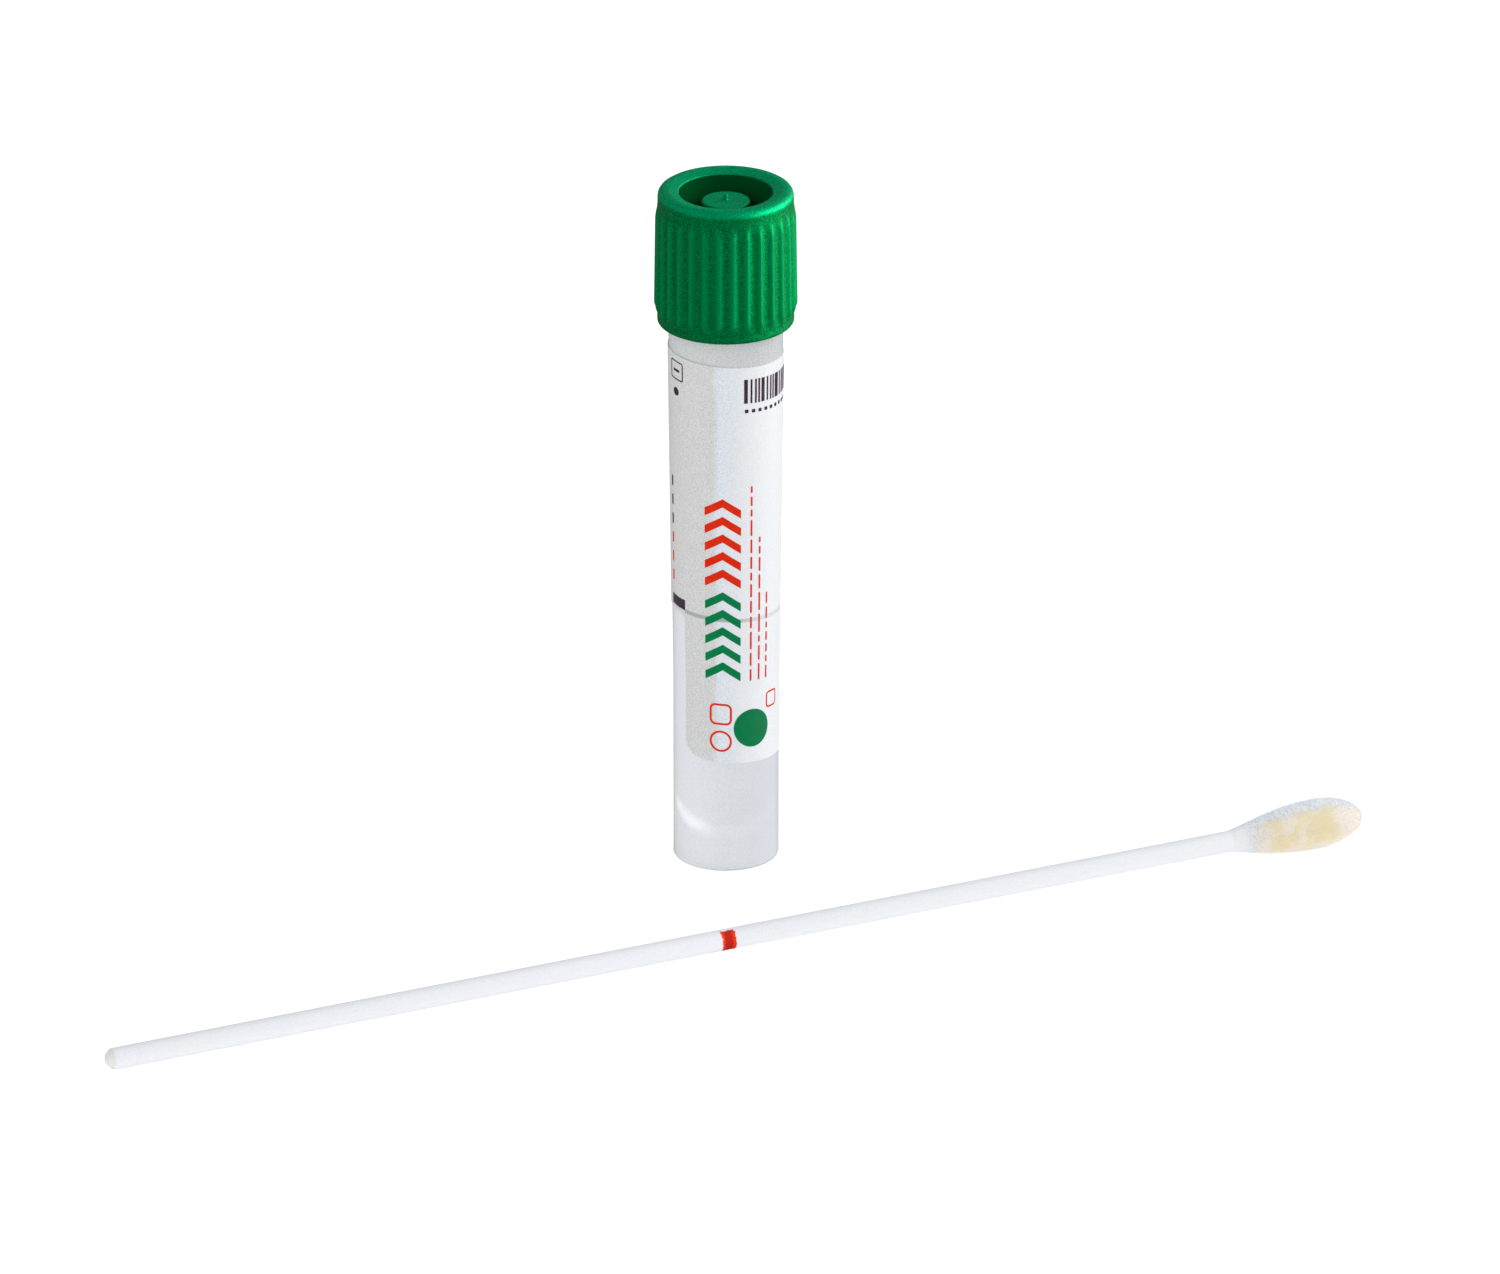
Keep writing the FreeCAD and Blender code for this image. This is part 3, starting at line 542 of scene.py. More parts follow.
ROW_STROKE, ROW_GAP = 0.22, 0.42
rows = random.Random(11)
for across, low, high in ((2.95, 23.4, 47.0), (4.05, 23.4, 41.0), (5.15, 23.4, 33.5)):
    up = low
    while up < high:
        length = rows.uniform(0.7, 2.3)
        add_filled(drawings["red"], rounded_box(across, up + length / 2, ROW_STROKE, length, 0.1, 4))
        up += length + ROW_GAP
BARS_FROM, BARS_TO, BARS_UP, BAR_HEIGHT = 2.0, 9.4, 58.9, 2.9
bars = random.Random(5)
across = BARS_FROM
while across < BARS_TO:
    width = bars.choice((0.22, 0.22, 0.42, 0.62))
    add_filled(drawings["dark"], rounded_box(across + width / 2, BARS_UP, width, BAR_HEIGHT))
    across += width + bars.choice((0.2, 0.32))
DOT_FROM, DOT_PITCH, DOT_UP, DOT = 2.3, 0.82, 56.5, 0.42
for count in range(9):
    add_filled(drawings["dark"], rounded_box(DOT_FROM + DOT_PITCH * count, DOT_UP, DOT, DOT, 0.1, 3))
add_frame(drawings["dark"], -6.3, 59.9, 2.3, 2.3, 0.3, 0.16)
add_filled(drawings["dark"], rounded_box(-6.3, 59.9, 1.1, 0.3))
add_filled(drawings["dark"], rounded_box(-6.4, 57.3, 1.0, 1.0, 0.5, 6))
TICK_X, TICK_FROM, TICK_PITCH = -7.6, 34.5, 2.3
for count in range(6):
    ink = "red" if count < 3 else "dark"
    add_filled(drawings[ink], rounded_box(TICK_X, TICK_FROM + TICK_PITCH * count, 0.34, 1.3, 0.12, 3))
LINE_FROM, LINE_PITCH, LINE_MIDDLE, LINE_LENGTH = 11.4, 1.8, 40.0, 30.0
for count in range(5):
    across = LINE_FROM + LINE_PITCH * count
    add_filled(drawings["dark"], rounded_box(across, LINE_MIDDLE, 0.12, LINE_LENGTH))
print("faces drawn:", {ink: len(drawing.faces) for ink, drawing in drawings.items()})

# %% [markdown]
# ## Wrapping the drawing
# Each point keeps its height and turns its distance across into an angle round the tube. The tube is
# straight up to a certain height and then widens evenly, so the radius is one clamped Map Range.
# The tilt then leans everything the way the film leans.

# %% The wrapping tree
def geometry_tree(name, inputs):
    """A tree that takes the named numbers and a material; returned with its input and output ends."""
    tree = bpy.data.node_groups.new(name, "GeometryNodeTree")
    tree.interface.new_socket("Geometry", in_out="INPUT", socket_type="NodeSocketGeometry")
    for label, default in inputs.items():
        kind = "NodeSocketInt" if isinstance(default, int) else "NodeSocketFloat"
        tree.interface.new_socket(label, in_out="INPUT", socket_type=kind).default_value = default
    tree.interface.new_socket("Material", in_out="INPUT", socket_type="NodeSocketMaterial")
    tree.interface.new_socket("Geometry", in_out="OUTPUT", socket_type="NodeSocketGeometry")
    return tree, tree.nodes.new("NodeGroupInput").outputs, tree.nodes.new("NodeGroupOutput").inputs[0]


def finish_tree(tree, geometry, material, output):
    """The common end of every tree: real faces instead of copies, and the material on them."""
    real = node(tree, "GeometryNodeRealizeInstances", Geometry=geometry)
    painted = node(tree, "GeometryNodeSetMaterial", Geometry=real, Material=material)
    feed(tree, output, painted)


wrap, given, result = geometry_tree("wrap_round_tube", {
    "Print Radius": 6.2 * MM, "Low Radius": 5.97 * MM, "High Radius": 6.5 * MM,
    "Straight To": 22.0 * MM, "Wide At": 65.4 * MM, "Stand Off": 0.103 * MM, "Tilt": 0.0})
flat = split(wrap, node(wrap, "GeometryNodeInputPosition"))
turn = maths(wrap, "DIVIDE", flat["X"], given["Print Radius"])
radius = node(wrap, "ShaderNodeMapRange", Value=flat["Y"], From_Min=given["Straight To"],
              From_Max=given["Wide At"], To_Min=given["Low Radius"], To_Max=given["High Radius"])
radius = maths(wrap, "ADD", radius, given["Stand Off"])
side = times(wrap, radius, maths(wrap, "SINE", turn))
front = times(wrap, radius, maths(wrap, "COSINE", turn))
lean = times(wrap, side, maths(wrap, "TANGENT", given["Tilt"]))
bent = node(wrap, "ShaderNodeCombineXYZ", X=side, Y=times(wrap, front, -1.0),
            Z=maths(wrap, "SUBTRACT", flat["Y"], lean))
moved = node(wrap, "GeometryNodeSetPosition", Geometry=given["Geometry"], Position=bent)
finish_tree(wrap, moved, given["Material"], result)
print("tree", wrap.name, "with", len(wrap.nodes), "nodes")

# %% [markdown]
# ## Running a tree
# A tree is a recipe, and a modifier cooks it. The helper hangs the modifier on a carrier, gives it the
# values, takes the finished mesh and removes the carrier, so that a plain object is left that any
# program can read. A modifier names its inputs by identifier, so the labels are looked up first.

# %% Running a tree
def grow(name, source, tree, values):
    """Runs a tree on a mesh once and returns the result as a plain object of its own."""
    carrier = add_object(name + "_source", source)
    modifier = carrier.modifiers.new("grow", "NODES")
    modifier.node_group = tree
    identifiers = {item.name: item.identifier for item in tree.interface.items_tree
                   if item.in_out == "INPUT"}
    for label, value in values.items():
        modifier[identifiers[label]] = value
    depsgraph = bpy.context.evaluated_depsgraph_get()
    mesh = bpy.data.meshes.new_from_object(carrier.evaluated_get(depsgraph), depsgraph=depsgraph)
    bpy.data.objects.remove(carrier)
    mesh.name = name
    made = add_object(name, mesh)
    mesh.calc_loop_triangles()
    print(name, "has", len(mesh.loop_triangles), "triangles")
    return made


print("to run a tree: grow")

# %% [markdown]
# ## Ink
# Printing ink is thin, duller than the film and never quite even. Each colour is one piece, cut into
# narrow strips first so that it bends smoothly, and then given a layer's thickness.

# %% Inks on the film
def ink_look(name, colour, thin):
    look = Look(name, 0.5, grains=3600.0, clouds=900.0, bump=0.2, lift=0.003)
    pinholes = look.mask(dots, Spread=2600.0, Share=0.05, Size=0.3)
    even = look.mix(look.times(look.grain["Tone"], 0.35), colour, thin)
    look.set(Base_Color=look.mix(look.times(pinholes, 0.5), even, thin), Specular_IOR_Level=0.06)
    return look


inks = {"green": ink_look("ink_green", rgb(0, 127, 72), rgb(0, 142, 88)),
        "red": ink_look("ink_red", rgb(232, 38, 2), rgb(238, 72, 40)),
        "dark": ink_look("ink_dark", rgb(58, 28, 54), rgb(100, 80, 98))}
STRIP_WIDTH, STRIPS_EACH_WAY = 0.4 * MM, 50
for ink, drawing in drawings.items():
    for strip in range(-STRIPS_EACH_WAY, STRIPS_EACH_WAY + 1):
        bmesh.ops.bisect_plane(drawing, geom=drawing.verts[:] + drawing.edges[:] + drawing.faces[:],
                               plane_co=(strip * STRIP_WIDTH, 0, 0), plane_no=(1, 0, 0))
    bmesh.ops.recalc_face_normals(drawing, faces=drawing.faces[:])
    if drawing.faces and sum(face.normal.z for face in drawing.faces) < 0:
        bmesh.ops.reverse_faces(drawing, faces=drawing.faces[:])
    flat_mesh = bpy.data.meshes.new("flat_" + ink)
    drawing.to_mesh(flat_mesh)
    drawing.free()
    printed = grow("print_" + ink, flat_mesh, wrap,
                   {"Tilt": LABEL_TILT, "Material": inks[ink].material})
    layer = printed.modifiers.new("ink_layer", "SOLIDIFY")
    layer.thickness, layer.offset = 0.015 * MM, 1.0
    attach(printed, "tube")

# %% [markdown]
# ## The cap
# The cap is one moulding: a ribbed skirt, a recess on top with a post in it, and a plug and a socket
# underneath. Its whole shape follows a rule: a profile turned round the axis, with ribs as a soft wave
# that fades out above and below. A row of copied ribs would leave sharp joints, while one tree lifts
# the ribs out of the wall as a mould does. It also stores how high each point stands on its rib.

# %% Cap profile
def rounded_path(corners, steps=5, ease=0.12):
    """Points of a path; corners are (radius, height, rounding) and become arcs with a short lead-in."""
    path = []
    for index, (x, y, rounding) in enumerate(corners):
        here = Vector((x, y))
        if not rounding:
            path.append(here)
            continue
        back = (Vector(corners[index - 1][:2]) - here).normalized()
        ahead = (Vector(corners[index + 1][:2]) - here).normalized()
        half = back.angle(ahead) / 2
        run = rounding / math.tan(half)
        centre = here + (back + ahead).normalized() * rounding / math.sin(half)
        start, end = here + back * run - centre, here + ahead * run - centre
        path.append(here + back * (run + ease))
        for step in range(steps):
            path.append(centre + start.slerp(end, step / (steps - 1)).normalized() * rounding)
        path.append(here + ahead * (run + ease))
    return path


CAP_FOOT, WALL_HEIGHT, FOOT_RADIUS, DRAFT = 65.0, 15.9, 7.72, 0.06
cap_corners = [(0, 80.25, 0), (0.20, 80.25, 0.08), (0.28, 79.55, 0.1), (2.77, 79.55, 0.35),
               (2.95, 74.0, 0.25), (4.05, 74.0, 0.25), (4.15, 78.3, 0.6), (5.35, 80.56, 0.35),
               (6.45, 80.9, 0.5), (7.66, 80.9, 0.8)]
cap_corners += [(FOOT_RADIUS - DRAFT * (z - CAP_FOOT) / WALL_HEIGHT, z, 0)
                for z in (79.6, 79.2, 78.9, 78.6, 78.3, 78.0, 77.7, 77.4, 77.0, 76.5, 76.0, 74.5, 73.0,
                          71.5, 70.0, 68.5, 67.6, 67.2, 66.9, 66.6, 66.3, 66.0, 65.75)]
cap_corners += [(FOOT_RADIUS, CAP_FOOT, 0.3), (6.7, CAP_FOOT, 0.15), (6.7, 78.5, 0.2), (5.03, 78.5, 0.15),
                (5.03, 72.9, 0.2), (1.32, 72.9, 0.15), (1.15, 78.9, 0.15), (0, 78.9, 0)]
cap_path = rounded_path(cap_corners)
cap_line = bpy.data.meshes.new("cap_profile")
cap_line.from_pydata([(p.x * MM, 0, p.y * MM) for p in cap_path],
                     [(i, i + 1) for i in range(len(cap_path) - 1)], [])
print("cap profile has", len(cap_path), "points")

# %% [markdown]
# ## The turning tree
# The tree lays a flat grid with one column per step of the turn and one row per point of the profile,
# then moves each grid point to its place. The cosine of the angle gives the ribs, a power makes them
# narrower than the grooves, and two soft steps let them run out at the foot and the head.

# %% The turning tree
ribs, given, result = geometry_tree("turn_with_ribs", {
    "Segments": 600, "Ribs": 30.0, "First Rib": 0.0, "Low Height": 0.38 * MM, "High Height": 0.24 * MM,
    "Rib Foot": 65.0 * MM, "Rib Head": 80.9 * MM, "Foot Fade": 1.3 * MM, "Head Fade": 2.0 * MM,
    "Outside From": 7.3 * MM, "Sharpness": 1.5})
points = node(ribs, "GeometryNodeAttributeDomainSize", Geometry=given["Geometry"])
grid = node(ribs, "GeometryNodeMeshGrid", Size_X=1.0, Size_Y=1.0,
            Vertices_X=maths(ribs, "ADD", given["Segments"], 1), Vertices_Y=points)
index = node(ribs, "GeometryNodeInputIndex")
column = maths(ribs, "FLOOR", maths(ribs, "DIVIDE", index, points))
row = maths(ribs, "SUBTRACT", index, times(ribs, column, points))
picked = node(ribs, "GeometryNodeSampleIndex", {"data_type": "FLOAT_VECTOR"},
              Geometry=given["Geometry"], Index=row)
feed(ribs, picked.inputs["Value"], node(ribs, "GeometryNodeInputPosition"))
outline = split(ribs, picked)
portion = maths(ribs, "DIVIDE", column, given["Segments"])
wave = maths(ribs, "COSINE", times(ribs, 2 * math.pi, maths(
    ribs, "SUBTRACT", times(ribs, portion, given["Ribs"]), given["First Rib"])))
ridge = maths(ribs, "POWER", maths(ribs, "MULTIPLY_ADD", wave, 0.5, 0.5), given["Sharpness"])
rise = ramp(ribs, outline["Z"], given["Rib Foot"],
            maths(ribs, "ADD", given["Rib Foot"], given["Foot Fade"]))
fall = ramp(ribs, outline["Z"], maths(ribs, "SUBTRACT", given["Rib Head"], given["Head Fade"]),
            given["Rib Head"], 1.0, 0.0)
outside = maths(ribs, "GREATER_THAN", outline["X"], given["Outside From"])
crest = times(ribs, times(ribs, rise, fall), times(ribs, ridge, outside))
height = node(ribs, "ShaderNodeMapRange", Value=outline["Z"], From_Min=given["Rib Foot"],
              From_Max=given["Rib Head"], To_Min=given["Low Height"], To_Max=given["High Height"])
reach = maths(ribs, "ADD", outline["X"], times(ribs, crest, height))
angle = times(ribs, portion, 2 * math.pi)
spun = node(ribs, "ShaderNodeCombineXYZ", X=times(ribs, reach, maths(ribs, "SINE", angle)),
            Y=times(ribs, times(ribs, reach, -1.0), maths(ribs, "COSINE", angle)), Z=outline["Z"])
kept = node(ribs, "GeometryNodeStoreNamedAttribute", {"data_type": "FLOAT", "domain": "POINT"},
            Geometry=grid, Name="crest")
feed(ribs, next(s for s in kept.inputs if s.name == "Value" and s.enabled), crest)
shaped = node(ribs, "GeometryNodeSetPosition", Geometry=kept, Position=spun)
joined = node(ribs, "GeometryNodeMergeByDistance", Geometry=shaped, Distance=0.001 * MM)
smooth = node(ribs, "GeometryNodeSetShadeSmooth", Geometry=joined)
finish_tree(ribs, smooth, given["Material"], result)
print("tree", ribs.name, "with", len(ribs.nodes), "nodes")

# %% [markdown]
# ## The cap's green plastic
# Coloured polypropylene from a blasted mould is satin, with a fine, even grain. Its green is so deep that
# even its shine is green, which a plain clear gloss can't give. Half of the shine therefore comes from the
# shader's metal side, whose reflections take the colour of the body. Three things change over the cap, and
# all three are painted light and shade. The crests of the ribs are painted a little paler as a highlight
# and are a touch glossier, which the stored crest height drives. The flat top faces carry a painted cool
# sheen, and the recess is painted dark as shade and made dull.

# %% Cap finish
green = Look("cap_green_plastic", grains=6200.0, clouds=330.0, bump=0.8, lift=0.02)
crest_height = node(green.tree, "ShaderNodeAttribute", {"attribute_name": "crest"}).outputs["Fac"]
place = green.axes()
from_axis = green.maths("SQRT", green.maths("ADD", green.times(place["X"], place["X"]),
                                            green.times(place["Y"], place["Y"])))
beside_post = green.maths("MAXIMUM", green.ramp_mm(from_axis, 2.9, 3.1),
                          green.ramp_mm(place["Z"], 79.3, 79.5, 1.0, 0.0))
# Painted shade: the recess round the post is coloured dark.
in_recess = green.times(green.ramp_mm(place["Z"], 80.4, 80.54, 1.0, 0.0),
                        green.times(green.ramp_mm(from_axis, 5.32, 5.6, 1.0, 0.0), beside_post))
in_recess = green.times(in_recess, green.ramp_mm(place["Z"], 73.0, 73.8))
post_top = green.times(green.ramp_mm(place["Z"], 79.3, 79.5), green.ramp_mm(from_axis, 2.9, 3.1, 1.0, 0.0))
on_top = green.maths("MAXIMUM", green.ramp_mm(place["Z"], 79.9, 80.6), post_top)
# The rib crests get a painted highlight and the flat tops a painted cool sheen.
body = green.speckle(rgb(0, 86, 38), rgb(0, 136, 73))
top_sheen = green.speckle(rgb(0, 134, 84), rgb(0, 174, 114))
topped = green.mix(on_top, green.mix(green.times(crest_height, 0.6), body, rgb(0, 150, 86)), top_sheen)
green.set(Base_Color=green.mix(in_recess, topped, rgb(0, 72, 30)),
          Roughness=green.maths("MAXIMUM", green.ramp(crest_height, 0.0, 1.0, 0.58, 0.52),
                                green.times(in_recess, 0.75)),
          Metallic=green.ramp(in_recess, 0.0, 1.0, 0.5, 0.12), Specular_IOR_Level=0.0)
print("cap finish has", len(green.tree.nodes), "nodes")

# %% [markdown]
# ## The cap's piece
# The tree runs once on the profile. Turning a line can leave its faces looking inward, so they are
# turned outward afterwards, and open edges are counted: a moulding has none.

# %% Cap
cap = grow("screw_cap", cap_line, ribs,
           {"First Rib": 0.5, "Rib Foot": 66.0 * MM, "Rib Head": 79.4 * MM, "Material": green.material})
surface = bmesh.new()
surface.from_mesh(cap.data)
bmesh.ops.recalc_face_normals(surface, faces=surface.faces[:])
print("open edges left on the cap:", sum(not edge.is_manifold for edge in surface.edges))
surface.to_mesh(cap.data)
surface.free()
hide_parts("cap")
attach(cap, "cap")

# %% [markdown]
# ## The swab's own axes
# The swab lies askew, on its stick's blunt end and on its thick tip. A Mapping node moves the origin to
# the blunt end and turns the axes into the rod's own, so that a finish can read places along the swab
# and angles round it in plain numbers.

# %% Swab's axes
SWAB_LENGTH, STICK_RADIUS, TIP_RADIUS, TIP_NOSE = 154.8, 1.21, 2.73, 5.9
SWAB_LEAN = math.atan((TIP_RADIUS - STICK_RADIUS) / (SWAB_LENGTH - TIP_NOSE))
SWAB_START = Vector((-68.3, -61.3, STICK_RADIUS * math.cos(SWAB_LEAN))) * MM
SWAB_TURN = (0.0, -SWAB_LEAN, math.radians(24.75))


def swab_axes(look):
    """Along and across the swab, in metres from its blunt end."""
    own = node(look.tree, "ShaderNodeMapping", {"vector_type": "TEXTURE"}, Vector=look.place,
               Location=SWAB_START, Rotation=SWAB_TURN)
    return split(look.tree, own)


print("the swab leans by", round(math.degrees(SWAB_LEAN), 2), "degrees")

# %% [markdown]
# ## The stick's white and its red mark
# The stick is an extruded white rod with a red mark where it is snapped off. The mark is a touch of ink
# rolled on from one side, so its edges wander and it doesn't go all the way round: two bands, one along
# the rod and one round it, are multiplied. On a pale rod the shading has to be gentle. Its upper back is
# painted a little greyer, as shade, and its lower front has a faint painted glow that stands for light
# passing through the white plastic. It has nearly no shine, because the card's reflection would burn it
# out from the side.

# %% Stick finish
stick = Look("stick_white_plastic", grains=6400.0, clouds=120.0, lift=0.005)
along = swab_axes(stick)
mark = stick.mask(bands, Position=along["X"], Centre=75.2 * MM, Half_Width=0.85 * MM,
                  Raggedness=0.14 * MM, Softness=0.09 * MM, Wander=4200.0)
heart = stick.mask(bands, Position=along["X"], Centre=75.15 * MM, Half_Width=0.48 * MM,
                   Raggedness=0.12 * MM, Softness=0.08 * MM, Wander=3000.0)
around = stick.turn(along["Z"], along["Y"])
covered = stick.mask(bands, Position=around, Centre=math.radians(3.0),
                     Half_Width=math.radians(76.0), Raggedness=0.14, Softness=0.08, Wander=2600.0)
inked = stick.times(mark, covered)
# Painted shade: the upper back of the stick is greyer.
upper_shade = stick.times(stick.ramp_degrees(around, 40.0, 105.0),
                      stick.ramp_degrees(around, 120.0, 170.0, 1.0, 0.0))
plain = stick.mix(stick.times(upper_shade, stick.ramp(stick.grain["Height"], 0.3, 0.6, 0.5, 1.0)),
                  stick.speckle(rgb(243, 246, 252), rgb(255, 255, 255)), rgb(232, 236, 241))
ended = stick.mix(stick.ramp_mm(along["X"], 0.05, 0.35, 1.0, 0.0), plain, rgb(238, 236, 232))
red = stick.mix(heart, rgb(222, 60, 16), rgb(192, 24, 0))
# Painted glow on the lower front, standing for light through the white plastic.
under = stick.times(stick.ramp_degrees(around, -50.0, 70.0, 1.0, 0.0),
                    stick.ramp_degrees(around, -170.0, -120.0))
stick.set(Base_Color=stick.mix(inked, ended, red), Roughness=stick.ramp(inked, 0.0, 1.0, 0.42, 0.95),
          Metallic=stick.ramp(inked, 0.0, 1.0, 0.0, 0.5),
          Specular_IOR_Level=stick.ramp(inked, 0.0, 1.0, 0.02, 0.3),
          Emission_Color=stick.mix(inked, stick.mix(under, BLACK, ended), BLACK), Emission_Strength=0.13)
print("stick finish has", len(stick.tree.nodes), "nodes")

# %% [markdown]
# ## The stick itself
# The rod is a profile turned round the swab's own axis: a blunt cut with a broad chamfer, a long
# straight run with the shallow score where it snaps, and an end that hides inside the tip. Rings of
# points are enough for it, and the same two helpers build the tip's core next.

# %% Stick
own_axes = Euler(SWAB_TURN, "XYZ").to_matrix()
TURN_STEPS = 48
CUT_END, CUT_RADIUS, CHAMFER, SCORE_AT = -0.44, 0.7, 0.7, 75.5
ROD_END = SWAB_LENGTH - 15.6


def swab_ring(surface, along_mm, radius_mm, swell=0.0):
    """A ring of points round the swab's axis, fuller on top by a share; radius 0 gives one point."""
    loop = []
    for k in range(TURN_STEPS if radius_mm else 1):
        turn = 2 * math.pi * k / TURN_STEPS
        here = radius_mm * (1 + swell * max(0.0, math.sin(turn)))
        loop.append(surface.verts.new(SWAB_START + own_axes @ Vector((
            along_mm, here * math.cos(turn), here * math.sin(turn))) * MM))
    return loop


def skin_rings(surface, loops, name):
    """Faces from ring to ring, turned outward, as a smooth mesh."""
    for first, second in zip(loops, loops[1:]):
        for k in range(TURN_STEPS):
            after = (k + 1) % TURN_STEPS
            corners = [first[k % len(first)], first[after % len(first)], second[after % len(second)],
                       second[k % len(second)]]
            surface.faces.new(list(dict.fromkeys(corners)))
    bmesh.ops.recalc_face_normals(surface, faces=surface.faces[:])
    mesh = bpy.data.meshes.new(name)
    surface.to_mesh(mesh)
    surface.free()
    mesh.shade_smooth()
    print(name, "has", len(mesh.polygons), "faces")
    return mesh


rod = bmesh.new()
rod_profile = [(CUT_END, 0.0), (CUT_END, CUT_RADIUS - 0.06), (CUT_END + 0.05, CUT_RADIUS),
               (CUT_END + CHAMFER - 0.08, STICK_RADIUS - 0.05), (CUT_END + CHAMFER + 0.12, STICK_RADIUS),
               (SCORE_AT - 0.25, STICK_RADIUS), (SCORE_AT, STICK_RADIUS - 0.03),
               (SCORE_AT + 0.25, STICK_RADIUS), (ROD_END, STICK_RADIUS), (ROD_END, 0.0)]
rod_mesh = skin_rings(rod, [swab_ring(rod, *place) for place in rod_profile], "swab_stick")
rod_mesh.set_sharp_from_angle(angle=math.radians(28.0))
rod_mesh.materials.append(stick.material)
rod_piece = add_object("swab_stick", rod_mesh)
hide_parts("swab_shaft")
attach(rod_piece, "tube")

# %% [markdown]
# ## The swab's tip
# Flock is thousands of short nylon fibres shot at a glued core so that they stand on end. From a step
# away they are velvet: cream where the fibres have soaked, and nearly white along the edge, where one
# looks along them. A bump map can't give that fringe, so real fibres are grown here by a tree that
# scatters points on the core and sets one thin spike on each.

# %% Core of the tip
COAT_START = SWAB_LENGTH - 16.6
FLOCK, FIBRE, CORE_STEPS = 0.2, 0.3, 48
FULLER, FULLER_FROM, FULLER_RUN = 0.32, 141.0, 5.0
NAP_FROM, NAP_RUN, SINK_RUN = 0.4, 4.5, 5.0


def tip_radius(along_mm, sink):
    """Radius of the tip's outside at a place along the swab, less the depth of the flock."""
    fat = SWAB_LENGTH - TIP_NOSE
    if along_mm >= fat:
        share = min(1.0, (along_mm - fat) / (TIP_NOSE - sink))
        return (TIP_RADIUS - sink) * math.sqrt(max(0.0, 1 - share * share))
    run, fall = fat - COAT_START, TIP_RADIUS - STICK_RADIUS
    bow = (run * run + fall * fall) / (2 * fall)
    outer = TIP_RADIUS - bow + math.sqrt(bow * bow - (fat - along_mm) ** 2)
    return max(outer - sink * min(1.0, (along_mm - COAT_START) / SINK_RUN), STICK_RADIUS + 0.01)


core = bmesh.new()
nap = core.verts.layers.float.new("nap")
rings = [(COAT_START - 0.9, 0.0), (COAT_START - 0.9, STICK_RADIUS - 0.12)]
for step in range(CORE_STEPS + 1):
    along_mm = COAT_START + (SWAB_LENGTH - FLOCK - COAT_START) * math.sin(step / CORE_STEPS * math.pi / 2)
    rings.append((along_mm, tip_radius(along_mm, FLOCK) if step < CORE_STEPS else 0.0))
loops = []
for along_mm, radius_mm in rings:
    fuller = FULLER * min(1.0, max(0.0, (along_mm - FULLER_FROM) / FULLER_RUN))
    loop = swab_ring(core, along_mm, radius_mm, fuller / TIP_RADIUS)
    for point in loop:
        point[nap] = min(1.0, max(0.0, (along_mm - COAT_START - NAP_FROM) / NAP_RUN))
    loops.append(loop)
core_mesh = skin_rings(core, loops, "tip_core")

# %% [markdown]
# ## The flocking tree
# Points are scattered on the core, and each gets one thin three-sided spike. The stored nap thins the
# fibres out and shortens them where the coat runs onto the stick. Every fibre then leans and turns by
# a random amount within a limit, with fixed seeds, so the tip is ruffled but the same on every run.

# %% The flocking tree
ANY_TURN = 6.28
flock, given, result = geometry_tree("flock", {
    "Fibres per Square Metre": 110e6, "Length": FIBRE * MM, "Thickness": 0.022 * MM, "Lean": 0.5,
    "Seed": 3})
nap_field = node(flock, "GeometryNodeInputNamedAttribute", {"data_type": "FLOAT"}, Name="nap")
nap_here = next(socket for socket in nap_field.outputs if socket.enabled)
scattered = node(flock, "GeometryNodeDistributePointsOnFaces", Mesh=given["Geometry"],
                 Density=times(flock, given["Fibres per Square Metre"], nap_here),
                 Seed=given["Seed"])
spike = node(flock, "GeometryNodeMeshCone", Vertices=3, Radius_Top=0.0,
             Radius_Bottom=given["Thickness"], Depth=given["Length"])


def any_of(kind, low, high, seed):
    return in_order(flock, "FunctionNodeRandomValue", (low, high), {"data_type": kind}, Seed=seed)


lengths = times(flock, any_of("FLOAT", 0.72, 1.0, 21), maths(flock, "MULTIPLY_ADD", nap_here, 0.8, 0.2))
placed = node(flock, "GeometryNodeInstanceOnPoints", Points=scattered.outputs["Points"],
              Instance=spike.outputs["Mesh"], Rotation=scattered.outputs["Rotation"], Scale=lengths)
back = times(flock, given["Lean"], -1.0)
negative = node(flock, "ShaderNodeCombineXYZ", X=back, Y=back, Z=0.0)
positive = node(flock, "ShaderNodeCombineXYZ", X=given["Lean"], Y=given["Lean"], Z=ANY_TURN)
tilts = any_of("FLOAT_VECTOR", negative, positive, 22)
leaning = node(flock, "GeometryNodeRotateInstances", Instances=placed, Rotation=tilts)
finish_tree(flock, leaning, given["Material"], result)
print("tree", flock.name, "with", len(flock.nodes), "nodes")

# %% [markdown]
# ## The flock's colours
# Core and fibres share one finish, and the fibres get less of the soaked cream because their ends are
# cleaner. Cream lies on the lower front, in uneven patches, with a deeper gold in its middle. Above and
# behind, the fibres are a dry white speckled with a painted bluish-grey shade, and near the stick their
# top is painted greyer as shade. A few pinkish specks break it up. The faint glow below stands for light
# that wanders through the loose fibres.

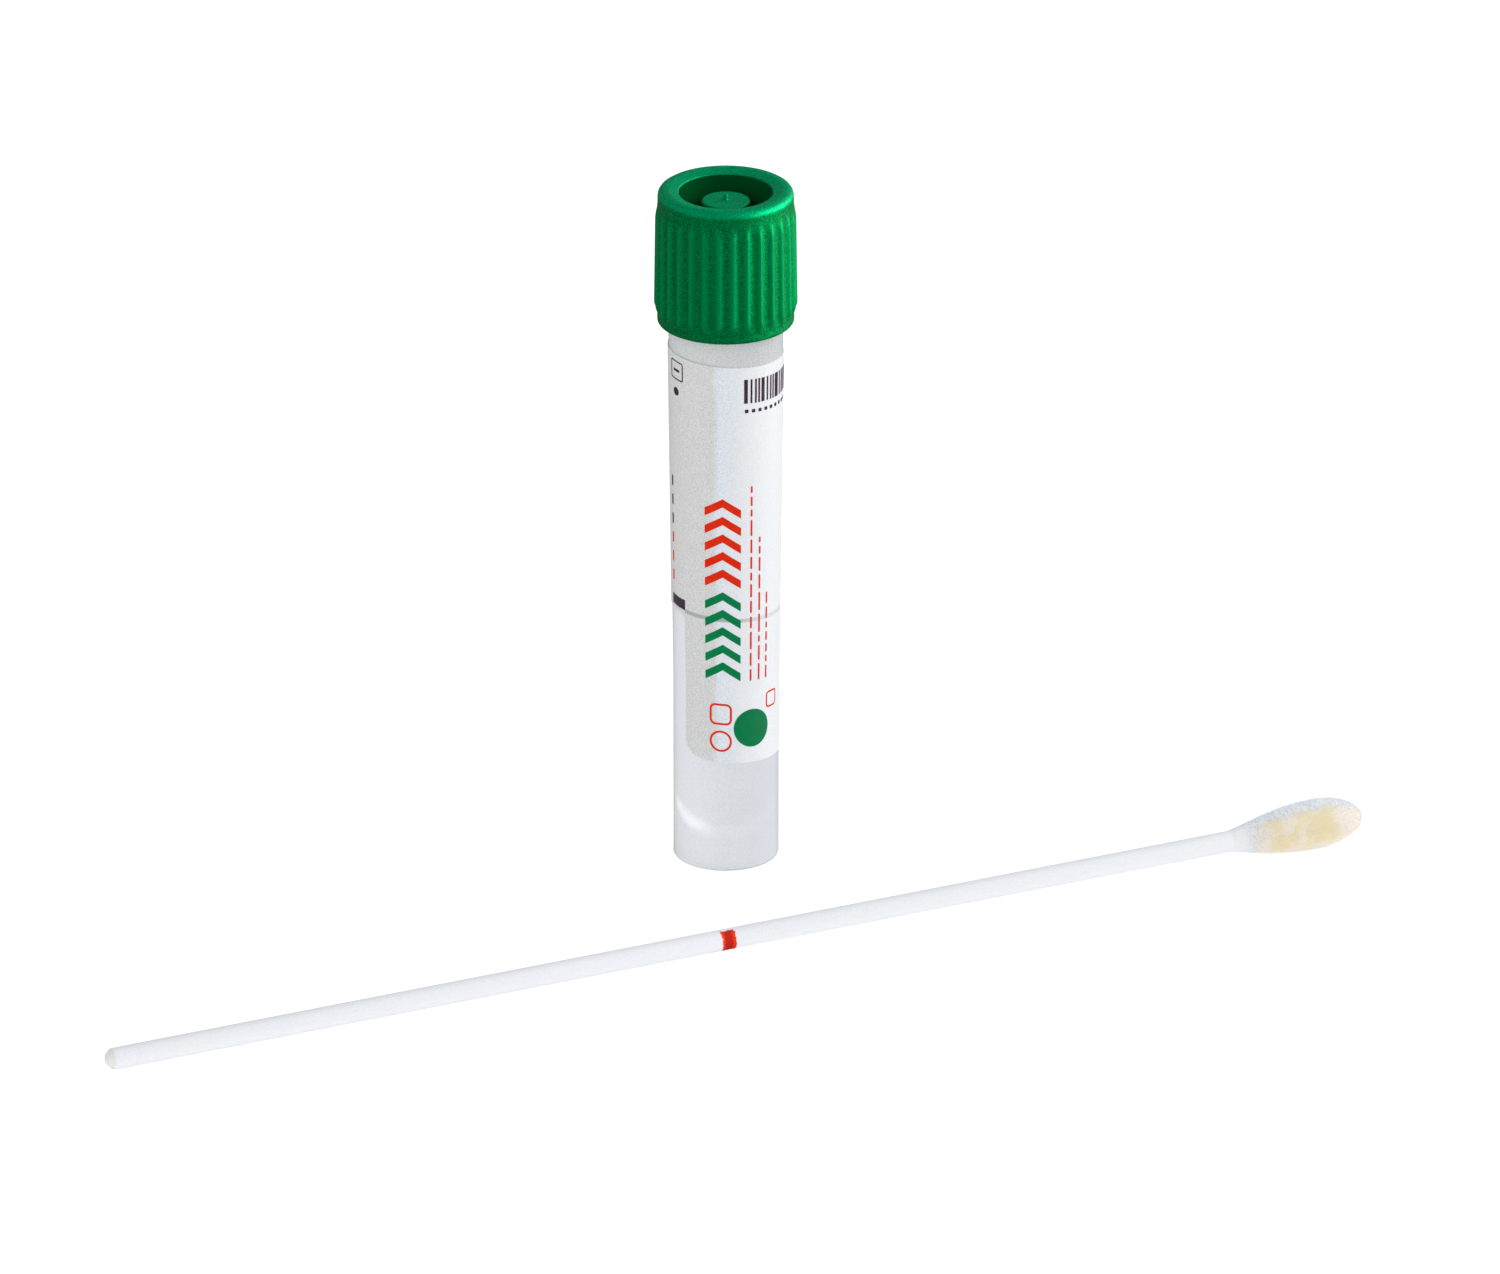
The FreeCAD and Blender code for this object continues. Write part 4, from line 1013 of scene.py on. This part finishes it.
# %% Flock finish and tip
def flock_look(name, roughness, pale_share):
    look = Look(name, roughness, grains=3700.0, clouds=430.0, bump=0.2)
    own = swab_axes(look)
    stipple = look.times(look.maths("SUBTRACT", look.grain["Height"], 0.5), 3.0)
    around = look.turn(own["Z"], own["Y"])
    facing = look.mask(bands, Position=around, Centre=math.radians(-34.0),
                       Half_Width=math.radians(96.0), Raggedness=0.1, Softness=0.35)
    length = look.times(look.ramp_mm(own["X"], 138.8, 142.8),
                        look.ramp_mm(own["X"], 153.2, 155.6, 1.0, 0.5))
    wet = look.maths("ADD", look.times(facing, length), stipple)
    soaked = look.times(look.ramp(wet, 0.38, 0.62), 1.0 - pale_share)
    middle = look.times(look.ramp_mm(own["X"], 140.4, 143.8),
                        look.ramp_mm(own["X"], 149.6, 153.8, 1.0, 0.0))
    middle = look.times(middle, look.ramp_degrees(around, -62.0, -28.0))
    thick = look.maths("ADD", look.times(look.grain["Tone"], middle), stipple)
    gold = look.mix(look.ramp(thick, 0.38, 0.68), rgb(246, 239, 228), rgb(243, 231, 195))
    # Dry white fibres with a painted bluish-grey shade, and near the stick a painted greyer top.
    dry_and_shaded = look.mix(look.ramp(stipple, -0.25, 0.25), rgb(221, 225, 230), rgb(246, 248, 250))
    bare = look.mix(look.ramp_degrees(around, 40.0, 105.0), rgb(250, 251, 255), rgb(234, 238, 243))
    dry_and_shaded = look.mix(look.ramp_mm(own["X"], 138.6, 141.2), bare, dry_and_shaded)
    specks = look.mask(dots, Spread=1100.0, Share=0.035, Size=0.16)
    colour = look.mix(look.times(specks, 0.8), look.mix(soaked, dry_and_shaded, gold), rgb(206, 140, 132))
    above = look.ramp_mm(own["X"], 140.0, 144.5, 0.0, 0.5)
    passed_on = look.mix(look.ramp_mm(own["Z"], -2.2, 0.8, 1.0, above), BLACK, colour)
    look.set(Base_Color=colour, Emission_Color=passed_on, Emission_Strength=0.16)
    return look


core_look = flock_look("flock_core", 0.8, 0.0)
core_mesh.materials.append(core_look.material)
fibre_look = flock_look("flock_fibres", 0.7, 0.2)
fibres = grow("swab_flock", core_mesh, flock, {"Material": fibre_look.material})
tip = add_object("swab_tip_core", core_mesh)
for piece in (tip, fibres):
    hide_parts("swab_tip")
    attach(piece, "tube")

# %% [markdown]
# ## Sizes
# The box round all shown pieces, with the bench left out, is measured last.

# %% Finish
low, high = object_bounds()
